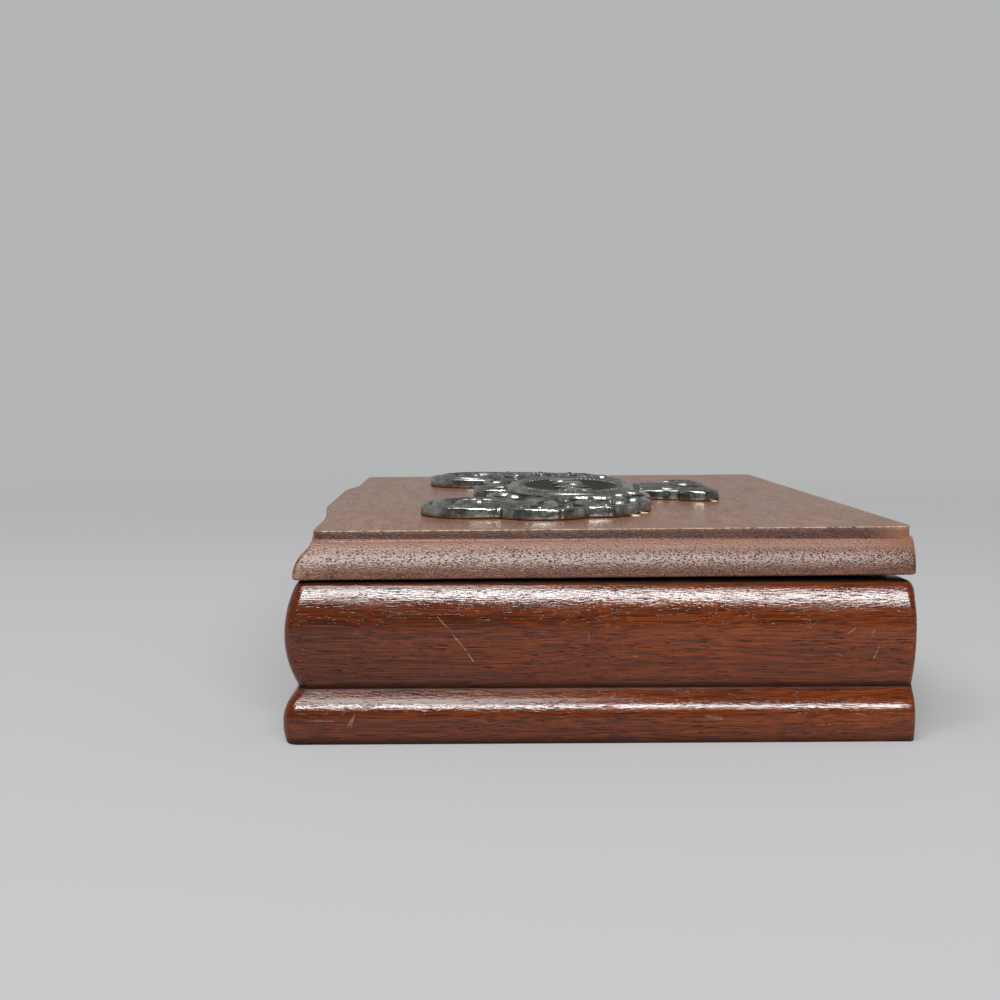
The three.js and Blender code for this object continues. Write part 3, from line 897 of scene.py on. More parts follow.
def finished(
    bm: Mesh,
    name: str,
    body: str,
    material: Material,
    stands_for: Sequence[str] = (),
    crease: float = 38.0,
) -> bpy.types.Object:
    """Turns a mesh in millimetres into a finished piece of the box.

    Args:
        bm: the mesh, which is freed.
        name: the piece's name.
        body: the CAD body that it rides on.
        material: its material.
        stands_for: the CAD nodes that it replaces.
        crease: the angle in degrees above which an edge stays sharp.

    Returns:
        The piece.
    """
    bmesh.ops.scale(bm, vec=(MM, MM, MM), verts=bm.verts)
    for face in bm.faces:
        face.smooth = True
    for edge in bm.edges:
        edge.smooth = not edge.is_manifold or edge.calc_face_angle(0.0) < math.radians(crease)
    piece = scratch_object(bm, name)
    piece.data.materials.append(material)
    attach(piece, body)
    if stands_for:
        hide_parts(*stands_for)
    log.info("%s: %d faces on %s", name, len(piece.data.polygons), body)
    return piece


def arc(centre: Point, radius: float, start: float, end: float, steps: int) -> list[Point]:
    """Gives points of an arc, both ends included.

    Args:
        centre: its centre.
        radius: its radius.
        start: the angle of its first point, in radians.
        end: the angle of its last point.
        steps: how many steps it has.

    Returns:
        The points.
    """
    angles = (start + (end - start) * i / steps for i in range(steps + 1))
    return [(centre[0] + radius * math.cos(a), centre[1] + radius * math.sin(a)) for a in angles]


def smooth_step(value: float) -> float:
    """Gives a soft step from 0 to 1."""
    held = min(max(value, 0.0), 1.0)
    return held * held * (3 - 2 * held)


def rising(value: float, start: float, width: float) -> float:
    """Gives a soft step that rises from 0 at start to 1 a width further on."""
    return smooth_step((value - start) / width)


def painted(bm: Mesh, name: str) -> bmesh.types.BMLayerItem:
    """Gives the mesh a layer of values on its vertices, which its material reads by name."""
    return bm.verts.layers.float.new(name)


# Case


@dataclass
class MouldedRails:
    """Four rails round the case, three of them moulded and mitred in front and one plain behind."""

    long_wood: Material
    end_woods: dict[Side, Material]
    top: float = 0.0
    top_is_round: bool = False
    rail_width: float = 10.0
    corner_round: float = 2.2
    corner_from: float = 2.0
    corner_fade: float = 4.0
    moulded_from: float = 3.0
    moulded_fade: float = 4.0
    end_round: float = 1.1
    top_round: float = 2.0
    top_fade_below: float = 7.0
    top_fade: float = 5.0
    sawn_arris: float = 0.25
    straight_steps: int = 24
    corner_steps: int = 6
    end_steps: int = 6

    def section(self) -> list[Point]:
        """Gives the rail's section as places out from its inner face and up."""
        raise NotImplementedError

    def dirt(self, out: float, up: float) -> float:
        """Gives how strong the rail's painted shade is at a place out from its inner face and up.
        """
        raise NotImplementedError

    def corner_radius(self, out: float) -> float:
        """Gives how far the mitred corner is rounded over at a distance from the inner face."""
        return self.corner_round * rising(out, self.corner_from, self.corner_fade)

    def sawn_place(self, out: float, up: float, share: float) -> Point3:
        """Gives a place on the rounding towards a rail's sawn back end.

        Args:
            out: how far out from the rail's inner face it lies before the rounding.
            up: its height before the rounding.
            share: 0 on the sawn end, 1 where the rounding begins.

        Returns:
            The place out from the middle of the box, along Y and up.
        """
        depth = self.top_round * (1 - math.cos(share * math.pi / 2))
        at_end = max(self.end_round - depth, 0)
        pull = self.end_round - math.sqrt(max(self.end_round**2 - at_end**2, 0))
        pull *= rising(out, self.moulded_from, self.moulded_fade)
        drop = self.top_round - math.sqrt(max(self.top_round**2 - (self.top_round - depth) ** 2, 0))
        drop *= rising(up, self.top - self.top_fade_below, self.top_fade) * self.top_is_round
        return LAYOUT.inner_x + out - pull, LAYOUT.back_y - depth, up - drop

    def end_rail(self, side: Side) -> Mesh:
        """Makes the rail along one end, flush with the back and mitred in front.

        Args:
            side: the end of the box.

        Returns:
            A closed mesh.
        """
        section = self.section()
        sign = side.value

        def place(i: int, station: tuple[str, float]) -> Vector:
            """Gives where the section's point of a number lies at a station."""
            out, up = section[i]
            kind, share = station
            radius = self.corner_radius(out)
            arc_start = LAYOUT.inner_front_y - out + radius
            if kind == "corner":
                angle = share * math.pi / 4
                x = LAYOUT.inner_x + out - radius * (1 - math.cos(angle))
                return Vector((sign * x, arc_start - radius * math.sin(angle), up))
            if kind == "end":
                x, y, z = self.sawn_place(out, up, share)
                return Vector((sign * x, y, z))
            start = LAYOUT.back_y - self.top_round
            return Vector((sign * (LAYOUT.inner_x + out), start + (arc_start - start) * share, up))

        stations = [("end", i / self.end_steps) for i in range(self.end_steps + 1)]
        stations += [("run", (i + 1) / self.straight_steps) for i in range(self.straight_steps)]
        stations += [("corner", (i + 1) / self.corner_steps) for i in range(self.corner_steps)]
        bm = sweep(section, stations, place)
        sawn_end = [f for f in bm.faces if len(f.verts) > len(section) / 2 and f.normal.y > 0.9]
        bmesh.ops.inset_region(bm, faces=sawn_end, thickness=self.sawn_arris, use_even_offset=True)
        return bm

    def front_rail(self) -> Mesh:
        """Makes the rail along the front, mitred at both ends."""
        section = self.section()

        def place(i: int, station: tuple[str, float]) -> Vector:
            """Gives where the section's point of a number lies at a station."""
            out, up = section[i]
            kind, share = station
            radius = self.corner_radius(out)
            half = LAYOUT.inner_x + out - radius
            y = LAYOUT.inner_front_y - out
            if kind == "run":
                return Vector((half * share, y, up))
            angle = abs(share) * math.pi / 4
            x = half + radius * math.sin(angle)
            return Vector((math.copysign(x, share), y + radius * (1 - math.cos(angle)), up))

        steps = self.straight_steps
        turns = [(i + 1) / self.corner_steps for i in range(self.corner_steps)]
        stations = [("corner", -turn) for turn in reversed(turns)]
        stations += [("run", -1 + 2 * i / steps) for i in range(steps + 1)]
        stations += [("corner", turn) for turn in turns]
        return sweep(section, stations, place)

    def paint_shade(self, bm: Mesh) -> Mesh:
        """Paints the shade under the lid's edge, at the joints and near the ground, and gives the
        mesh back.
        """
        layer = painted(bm, "grime")
        for v in bm.verts:
            out = max(abs(v.co.x) - LAYOUT.inner_x, LAYOUT.inner_front_y - v.co.y)
            v[layer] = self.dirt(out, v.co.z)
        return bm

    def finish(self, rail: Mesh, wood: Material, name: str, node: str) -> None:
        """Finishes a rail of a wood, which stands for one CAD node of the case."""
        finished(rail, name, "case", wood, [node])


@dataclass
class CaseWalls(MouldedRails):
    """The bowed walls with their rounded rim."""

    top: float = LAYOUT.rim_z
    top_is_round: bool = True
    crown_setback: float = 0.34
    crown_z: float = 20.3
    bow_radius: float = 22.0
    rim_round: float = 1.8
    rim_arris: float = 0.6
    rim_arris_cut: float = 0.17
    # Painted shade under the lid's edge and over the base's joint.
    rim_shade_from: Point = (5.4, 29.6)
    rim_shade_fade: Point = (1.0, 0.4)
    foot_dirt: float = 0.85
    foot_dirt_height: float = 1.5

    def section(self) -> list[Point]:
        """Gives the bowed section."""
        centre = (self.rail_width - self.crown_setback - self.bow_radius, self.crown_z)
        inner_radius = self.bow_radius - self.rim_round
        low = math.asin((LAYOUT.base_z - self.crown_z) / self.bow_radius)
        round_z = LAYOUT.rim_z - self.rim_round
        high = math.asin((round_z - self.crown_z) / inner_radius)
        round_out = centre[0] + inner_radius * math.cos(high)
        return [
            (0.0, LAYOUT.base_z),
            *arc(centre, self.bow_radius, low, high, 28),
            *arc((round_out, round_z), self.rim_round, high, math.pi / 2, 10)[1:],
            (self.rim_arris, LAYOUT.rim_z),
            (self.rim_arris_cut, LAYOUT.rim_z - self.rim_arris_cut),
            (0.0, LAYOUT.rim_z - self.rim_arris),
        ]

    def dirt(self, out: float, up: float) -> float:
        """Gives the painted shade under the lid's edge and over the base's joint."""
        rim = rising(up, self.rim_shade_from[1], self.rim_shade_fade[1])
        rim *= rising(out, self.rim_shade_from[0], self.rim_shade_fade[0])
        foot = self.foot_dirt * (1 - rising(up, LAYOUT.base_z, self.foot_dirt_height))
        return max(rim, foot * rising(out, self.moulded_from, 2))

    def back_wall(self) -> Mesh:
        """Makes the flat back wall with its rounded top arris."""
        bm = block(
            (-LAYOUT.inner_x, LAYOUT.inner_back_y, LAYOUT.base_z),
            (LAYOUT.inner_x, LAYOUT.back_y, LAYOUT.rim_z),
        )
        near_z, near_y = LAYOUT.rim_z - 0.1, LAYOUT.back_y - 0.1
        arris = [e for e in bm.edges if all(v.co.z > near_z and v.co.y > near_y for v in e.verts)]
        ease(bm, arris, self.top_round, 8)
        return bm

    def build(self) -> None:
        """Makes the four walls."""
        front = carved(self.paint_shade(self.front_rail()), [dado_cutter()])
        self.finish(front, self.long_wood, "front_wall_bowed", "front_wall")
        for side, wood in self.end_woods.items():
            wall = self.paint_shade(self.end_rail(side))
            self.finish(wall, wood, f"{side.word}_wall_bowed", f"{side.word}_wall")
        seats = [leaf_seat(side.value * LAYOUT.hinge_x, -1) for side in Side]
        back = carved(self.back_wall(), [dado_cutter(), *seats])
        self.finish(back, self.long_wood, "back_wall_flat", "back_wall")


@dataclass
class BaseMouldings(MouldedRails):
    """The base rails, which round in to the ground and in to the walls."""

    top: float = LAYOUT.base_z
    end_round: float = 0.9
    top_round: float = 0.9
    nose_top: float = 4.4
    nose_bottom: float = 4.0
    nose_radius: float = 7.0
    nose_sweep: float = math.radians(36)
    foot_radius: float = 12.0
    foot_arris: float = 0.25
    slope_out: float = 7.4
    slope_arris: Point = (0.12, 0.14)
    slope_shares: tuple[float, ...] = (0.4, 0.75, 1.0)
    rebate_spare: float = 0.05
    # Painted shade along the joint with the walls and near the ground.
    joint_dirt: float = 0.75
    joint_dirt_height: float = 0.35
    ground_dirt: float = 0.8
    ground_dirt_height: float = 2.2

    def section(self) -> list[Point]:
        """Gives the moulded section."""
        foot = (self.rail_width - self.foot_radius, self.nose_bottom)
        nose = (self.rail_width - self.nose_radius, self.nose_top)
        low = -math.asin((self.nose_bottom - self.foot_arris) / self.foot_radius)
        under = foot[0] + self.foot_radius * math.cos(low) - self.foot_arris
        rounded = arc(nose, self.nose_radius, 0, self.nose_sweep, 14)
        ends = (self.slope_out + self.slope_arris[0], LAYOUT.base_z - self.slope_arris[1])
        slope = [
            tuple(a + (b - a) * share for a, b in zip(rounded[-1], ends))
            for share in self.slope_shares
        ]
        return [
            (0.0, 0.0),
            (under, 0.0),
            *arc(foot, self.foot_radius, low, 0, 12),
            *rounded,
            *slope,
            (self.slope_out, LAYOUT.base_z),
            (0.0, LAYOUT.base_z),
        ]

    def dirt(self, out: float, up: float) -> float:
        """Gives the painted shade along the joint with the walls and near the ground."""
        height = self.joint_dirt_height
        joint = self.joint_dirt * rising(up, LAYOUT.base_z - height, height)
        ground = self.ground_dirt * (1 - rising(up, 0, self.ground_dirt_height))
        return max(joint, ground) * rising(out, self.moulded_from, 2)

    def rebate(self) -> Mesh:
        """Makes the cutter of the bottom panel's rebate, which stops inside the back rail."""
        reach = LAYOUT.rebate_width + LAYOUT.clearance
        return block(
            (-LAYOUT.inner_x - reach, LAYOUT.inner_front_y - reach, -1),
            (
                LAYOUT.inner_x + reach,
                LAYOUT.inner_back_y + reach,
                LAYOUT.panel_z + self.rebate_spare,
            ),
        )

    def build(self) -> None:
        """Makes the four base rails."""
        front = carved(self.paint_shade(self.front_rail()), [self.rebate(), dado_cutter()])
        self.finish(front, self.long_wood, "base_front_moulded", "base_moulding_front")
        for side, wood in self.end_woods.items():
            rail = carved(self.paint_shade(self.end_rail(side)), [self.rebate()])
            self.finish(rail, wood, f"base_{side.word}_moulded", f"base_moulding_{side.word}")
        back = block(
            (-LAYOUT.inner_x, LAYOUT.inner_back_y, 0),
            (LAYOUT.inner_x, LAYOUT.back_y, LAYOUT.base_z),
        )
        back = carved(back, [self.rebate(), dado_cutter()])
        self.finish(back, self.long_wood, "base_back_flat", "base_rail_back")


def dado_cutter() -> Mesh:
    """Makes the slot that takes the divider, which is a little larger than the divider."""
    half = LAYOUT.divider_half + LAYOUT.clearance
    reach = LAYOUT.dado_depth + LAYOUT.clearance
    return block(
        (-half, LAYOUT.inner_front_y - reach, LAYOUT.panel_z - 1),
        (half, LAYOUT.inner_back_y + reach, LAYOUT.divider_top + LAYOUT.clearance),
    )


def leaf_seat(x: float, side: int) -> Mesh:
    """Makes the recess for a hinge's leaf and barrel.

    Args:
        x: the hinge's middle.
        side: 1 for the lid's leaf, -1 for the case's.

    Returns:
        A closed cutter.
    """
    half = LAYOUT.leaf_length / 2 + LAYOUT.clearance
    front = LAYOUT.hinge_y - LAYOUT.leaf_reach - LAYOUT.clearance
    seat = LAYOUT.hinge_z + side * (LAYOUT.leaf_gap / 2 + LAYOUT.leaf_thickness)
    low, high = sorted((seat, LAYOUT.hinge_z - side * 2))
    slab = block((x - half, front, low), (x + half, LAYOUT.back_y + 1, high))
    radius = LAYOUT.barrel_radius + LAYOUT.clearance
    ends = [Vector((x + s * half, LAYOUT.hinge_y, LAYOUT.hinge_z)) for s in (-1, 1)]
    return carved(slab, [rod(radius, *ends)], "UNION")


@dataclass(frozen=True)
class BaizeSheet:
    """A glued sheet of baize, with a slightly uneven face and soft cut edges.

    The first fields are its name, its lowest and highest corners, the body that it rides on, the
    CAD node that it replaces and the piece that it is glued to, which is not used. The nap is 1 if
    the free face looks up and -1 if it looks down.
    """

    name: str
    low: Point3
    high: Point3
    body: str
    stands_for: str
    rests_on: str
    nap: int = 1
    follows_lid: bool = False
    cell: float = 1.6
    wave_size: float = 9.0
    wave_depth: float = 0.09
    fuzz_size: float = 2.1
    fuzz_depth: float = 0.05
    edge_width: float = 0.8
    edge_depth: float = 0.35

    def sag(self, place: Vector) -> float:
        """Gives how far the free face lies under the sheet's full thickness at a place."""
        low, high = self.low, self.high
        edge = min(place.x - low[0], high[0] - place.x, place.y - low[1], high[1] - place.y)

        def hills(size: float) -> float:
            """Gives soft hills of a size, from 0 to 1."""
            return 0.5 + 0.5 * noise.noise(Vector((place.x / size, place.y / size, place.z)))

        waves = self.wave_depth * hills(self.wave_size)
        fuzz = self.fuzz_depth * hills(self.fuzz_size)
        return waves + fuzz + self.edge_depth * (1 - smooth_step(edge / self.edge_width))

    def lay(self, baize: Material) -> None:
        low, high = self.low, self.high
        width, depth, thickness = (h - l for l, h in zip(low, high))
        glued = low[2] if self.nap > 0 else high[2]
        middle = ((low[0] + high[0]) / 2, (low[1] + high[1]) / 2, glued)
        cells = [int(side / self.cell) for side in (width, depth)]
        bm = bmesh.new()
        bmesh.ops.create_grid(bm, x_segments=cells[0], y_segments=cells[1], size=0.5)
        bmesh.ops.scale(bm, vec=(width, depth, 1), verts=bm.verts)
        bmesh.ops.translate(bm, vec=middle, verts=bm.verts)
        made = bmesh.ops.extrude_face_region(bm, geom=bm.faces[:], use_keep_orig=True)
        for v in made["geom"]:
            if isinstance(v, bmesh.types.BMVert):
                v.co.z += self.nap * (thickness - self.sag(v.co))
        if self.follows_lid:
            for v in bm.verts:
                v.co.z += LAYOUT.tilted(v.co.y)
        bmesh.ops.recalc_face_normals(bm, faces=bm.faces)
        sheet = finished(bm, self.name, self.body, baize, [self.stands_for], crease=60)


@dataclass
class Fittings:
    """The divider between the two packs, the bottom panel, and the baize on and under it."""

    wood: Material
    baize: Material
    ply: Material
    scoop_radius: float = 11.0
    scoop_reach: float = 4.0
    divider_arris: float = 0.45
    floor_play: float = 0.4
    floor_thickness: float = 1.0
    underside_play: float = 0.6
    underside_low: float = 0.3
    underside_high: float = 1.2

    def divider(self) -> Mesh:
        """Makes the divider with its finger scoop and softened top arrises."""
        half, top = LAYOUT.divider_half, LAYOUT.divider_top
        front_y, back_y = LAYOUT.inner_front_y, LAYOUT.inner_back_y
        board = block(
            (-half, front_y - LAYOUT.dado_depth, LAYOUT.panel_z),
            (half, back_y + LAYOUT.dado_depth, top),
        )
        ends = [Vector((s * self.scoop_reach, (front_y + back_y) / 2, top)) for s in (-1, 1)]
        bm = carved(board, [rod(self.scoop_radius, *ends, sides=96)])

        def is_top_arris(edge: bmesh.types.BMEdge) -> bool:
            """Tells whether an edge runs along one of the two faces' top."""
            a, b = edge.verts
            on_face = all(abs(abs(v.co.x) - half) < 1e-3 for v in (a, b))
            upper = all(v.co.z > LAYOUT.panel_z + 5 for v in (a, b))
            runs = abs(a.co.y - b.co.y) > 1e-3
            return on_face and upper and runs and edge.is_manifold and edge.calc_face_angle(0) > 1.2

        ease(bm, [e for e in bm.edges if is_top_arris(e)], self.divider_arris, 3)
        return bm

    def sheets(self) -> Iterable[BaizeSheet]:
        """Gives the two floor sheets and the one under the box."""
        play, panel_z = self.floor_play, LAYOUT.panel_z
        for side in Side:
            ends = (LAYOUT.divider_half + play, LAYOUT.inner_x - play)
            low, high = sorted(side.value * end for end in ends)
            yield BaizeSheet(
                f"floor_baize_{side.word}",
                (low, LAYOUT.inner_front_y + play, panel_z),
                (high, LAYOUT.inner_back_y - play, panel_z + self.floor_thickness),
                "case",
                f"floor_felt_{side.word}",
                "bottom_panel",
            )
        reach = LAYOUT.rebate_width - self.underside_play
        yield BaizeSheet(
            "underside_baize",
            (-LAYOUT.inner_x - reach, LAYOUT.inner_front_y - reach, self.underside_low),
            (LAYOUT.inner_x + reach, LAYOUT.inner_back_y + reach, self.underside_high),
            "case",
            "underside_felt",
            "bottom_panel",
            nap=-1,
        )

    def build(self) -> None:
        """Makes the fittings and dresses the bottom panel."""
        node = "compartment_divider"
        finished(
            self.divider(), "divider_scooped", "case", self.wood, [node], crease=30
        )
        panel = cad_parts["bottom_panel"]
        panel.data.materials.clear()
        panel.data.materials.append(self.ply)
        for sheet in self.sheets():
            sheet.lay(self.baize)


# Lid


@dataclass(frozen=True)
class EdgeLevel:
    """A level of the lid's edge: its height, how far in it lies on each side, and its wear."""

    up: float
    front: float
    end: float
    back: float = 0.0
    wear: float = 0.0


@dataclass
class MouldedLid:
    """The lid board with its moulded edges and its serpentine finger lip."""

    wood: Material
    baize: Material
    foot_x: float = 75.9
    foot_y: float = LAYOUT.lid_front_y
    thickness: float = 8.85
    foot_arris: float = 0.5
    foot_wear: float = 0.06
    ovolo_radius: float = 6.1
    ovolo_sweep: float = math.radians(45)
    end_radius: float = 8.5
    end_start: float = 0.7
    end_ledge: float = 0.35
    slope_rise: float = 0.77
    cove_radius: float = 2.6
    cove_sweep: float = math.radians(29)
    ledge_width: float = 0.22
    ledge_rise: float = 0.17
    ledge_nose: Point = (0.12, 0.06)
    # The ledge's nose is worn pale and also carries a painted highlight, which fades from the front
    # towards the back.
    ledge_wear: float = 0.3
    ledge_wear_from: float = -40.0
    ledge_wear_fade: float = 60.0
    fillet_up: float = 6.9
    fillet_ends: Point = (0.1, 0.9)
    top_arris: float = 0.2
    top_arris_wear: float = 0.85
    top_edge_wear: float = 0.15
    top_border: float = 0.5
    lip_reach: float = 2.4
    lip_width: float = 64.0
    lip_run: float = 21.0
    lip_steps: int = 18
    corner_round: float = 0.9
    corner_steps: int = 7
    corner_wear: float = 0.25
    corner_wear_from: float = 1.5
    corner_wear_fade: float = 4.0
    top_corner_round: float = 2.4
    end_grain_overlap: float = 0.3
    underside_border: float = 0.6
    felt_margin: float = 1.5
    felt_thickness: float = 1.0

    def end_inset(self, up: float) -> float:
        """Gives how far the flatter moulding of the two ends lies in at a height."""
        rise = max(up - self.end_start, 0.0)
        return self.end_radius - math.sqrt(self.end_radius**2 - rise**2)

    def moulding(self) -> list[Point]:
        """Gives the ovolo, the slope and the cove as places in from the foot and up."""
        ovolo_centre = (self.ovolo_radius, self.foot_arris)
        ovolo_end = math.pi - self.ovolo_sweep
        ovolo = arc(ovolo_centre, self.ovolo_radius, math.pi, ovolo_end, 18)[1:]
        slope = (ovolo[-1][0] + self.slope_rise, ovolo[-1][1] + self.slope_rise)
        steep = math.pi / 4
        cove_centre = (
            slope[0] - self.cove_radius * math.cos(steep),
            slope[1] + self.cove_radius * math.sin(steep),
        )
        return [*ovolo, *arc(cove_centre, self.cove_radius, -steep, self.cove_sweep - steep, 6)]

    def levels(self) -> list[EdgeLevel]:
        """Gives the edge's levels from the foot up."""
        half_pi = math.pi / 2
        foot_centre = (self.foot_arris, self.foot_arris)
        foot = arc(foot_centre, self.foot_arris, -half_pi, -math.pi, 5)
        moulding = self.moulding()
        cove_in, cove_up = moulding[-1]
        fillet = cove_in + self.ledge_width
        ledge_up = cove_up + self.ledge_rise
        end_fillet = self.end_inset(ledge_up) + self.end_ledge
        nose_out, nose_down = self.ledge_nose
        top_centre = (self.top_arris, self.thickness - self.top_arris)
        top = arc(top_centre, self.top_arris, math.pi, half_pi, 6)
        fillet_levels = (ledge_up + self.fillet_ends[0], self.thickness - self.fillet_ends[1])
        levels = [EdgeLevel(up, inset, inset, inset, self.foot_wear) for inset, up in foot]
        levels += [EdgeLevel(up, inset, self.end_inset(up)) for inset, up in moulding]
        nose = (ledge_up - nose_down, fillet - nose_out, end_fillet - nose_out)
        levels += [EdgeLevel(*nose, wear=self.ledge_wear)]
        levels += [EdgeLevel(up, fillet, end_fillet) for up in fillet_levels]
        for number, (inset, up) in enumerate(top):
            wear = self.top_arris_wear if 0 < number < len(top) - 2 else self.top_edge_wear
            levels += [EdgeLevel(up, fillet + inset, end_fillet + inset, inset, wear)]
        inner = self.top_arris + self.top_border
        levels += [EdgeLevel(self.thickness, fillet + inner, end_fillet + inner, inner)]
        return levels

    def swell(self, x: float) -> float:
        """Gives how far the lip swells forward at x."""
        along = (self.lip_width / 2 + self.lip_run / 2 - abs(x)) / self.lip_run
        return self.lip_reach * (1 - math.cos(math.pi * min(max(along, 0.0), 1.0))) / 2

    def outline(self) -> list[tuple[str, float]]:
        """Gives the plan's points in order, each as its stretch and its share or place."""
        near = self.lip_width / 2 - self.lip_run / 2
        bends = [near + self.lip_run * i / self.lip_steps for i in range(self.lip_steps + 1)]
        left_bends = [-b for b in reversed(bends)]
        lip = [7.0 * i for i in range(-2, 3)]
        front = [-65.0, -55.0, *left_bends, *lip, *bends, 55.0, 65.0]
        corner = [i / self.corner_steps for i in range(self.corner_steps + 1)]
        sides = [10.0 * i for i in range(-5, 6)]
        stretches = {
            "front": front,
            "front right": corner,
            "right": sides,
            "back right": corner,
            "back": [-x for x in front],
            "back left": corner,
            "left": [-y for y in sides],
            "front left": corner,
        }
        return [(kind, share) for kind, shares in stretches.items() for share in shares]

    def board(self) -> Mesh:
        """Makes the board, with its slight warp, and cuts the seats for the hinges."""
        outline = self.outline()

        def place(i: int, level: EdgeLevel) -> Vector:
            """Gives where the plan's point of a number lies on a level of the edge."""
            kind, share = outline[i]
            x, front = self.foot_x - level.end, self.foot_y + level.front
            back = LAYOUT.back_y - level.back
            above_fillet = level.up > self.fillet_up
            round_by = self.top_corner_round if above_fillet else self.corner_round
            angle = share * math.pi / 2
            lead, lag = round_by * (1 - math.cos(angle)), round_by * (1 - math.sin(angle))
            px, py = {
                "front": (share, front - self.swell(share)),
                "front right": (x - lag, front + lead),
                "right": (x, share),
                "back right": (x - lead, back - lag),
                "back": (share, back),
                "back left": (-x + lag, back - lead),
                "left": (-x, share),
                "front left": (-x + lead, front + lag),
            }[kind]
            return Vector((px, py, LAYOUT.lid_under + level.up + LAYOUT.tilted(py)))

        bm = sweep(outline, self.levels(), place, wear=lambda level: level.wear)
        caps = [f for f in bm.faces if len(f.verts) > len(outline) / 2]
        bmesh.ops.inset_region(
            bm,
            faces=[f for f in caps if f.normal.z < -0.9],
            thickness=self.underside_border,
            use_even_offset=True,
        )
        self.paint(bm)
        return carved(bm, [leaf_seat(x, 1) for x in (-LAYOUT.hinge_x, LAYOUT.hinge_x)])

    def paint(self, bm: Mesh) -> None:
        """Paints the worn arrises and front corners, the ledge's painted highlight, and where end
        grain shows.
        """
        worn, end = bm.verts.layers.float["wear"], painted(bm, "end")
        slack, border = 0.01, 0.8
        for v in bm.verts:
            inward = self.foot_x - abs(v.co.x)
            from_front = v.co.y - self.foot_y
            from_long_edge = min(from_front, LAYOUT.back_y - v.co.y)
            level = v.co.z - LAYOUT.lid_under - LAYOUT.tilted(v.co.y)
            under = level < slack and min(inward, from_long_edge) > border
            if under or level > self.thickness - slack:
                v[worn] = v[end] = 0.0
                continue
            # The ledge's worn and painted highlight fades towards the back.
            if abs(level - self.fillet_up) < 0.2:
                v[worn] *= 1 - rising(v.co.y, self.ledge_wear_from, self.ledge_wear_fade)
            if level < self.fillet_up:
                corner = math.hypot(inward, from_front)
                rubbed = 1 - rising(corner, self.corner_wear_from, self.corner_wear_fade)
                v[worn] = max(v[worn], self.corner_wear * rubbed)
            v[end] = float(inward < from_long_edge + self.end_grain_overlap)

    def build(self) -> None:
        """Makes the board and the baize under it."""
        name, node = "lid_board_moulded", "lid_board"
        finished(self.board(), name, "lid", self.wood, [node], crease=32)
        margin, under = self.felt_margin, LAYOUT.lid_under
        BaizeSheet(
            "lid_baize",
            (margin - LAYOUT.inner_x, LAYOUT.inner_front_y + margin, under - self.felt_thickness),
            (LAYOUT.inner_x - margin, LAYOUT.inner_back_y - margin, under),
            "lid",
            "lid_felt",
            name,
            nap=-1,
            follows_lid=True,
        ).lay(self.baize)


# Hinges


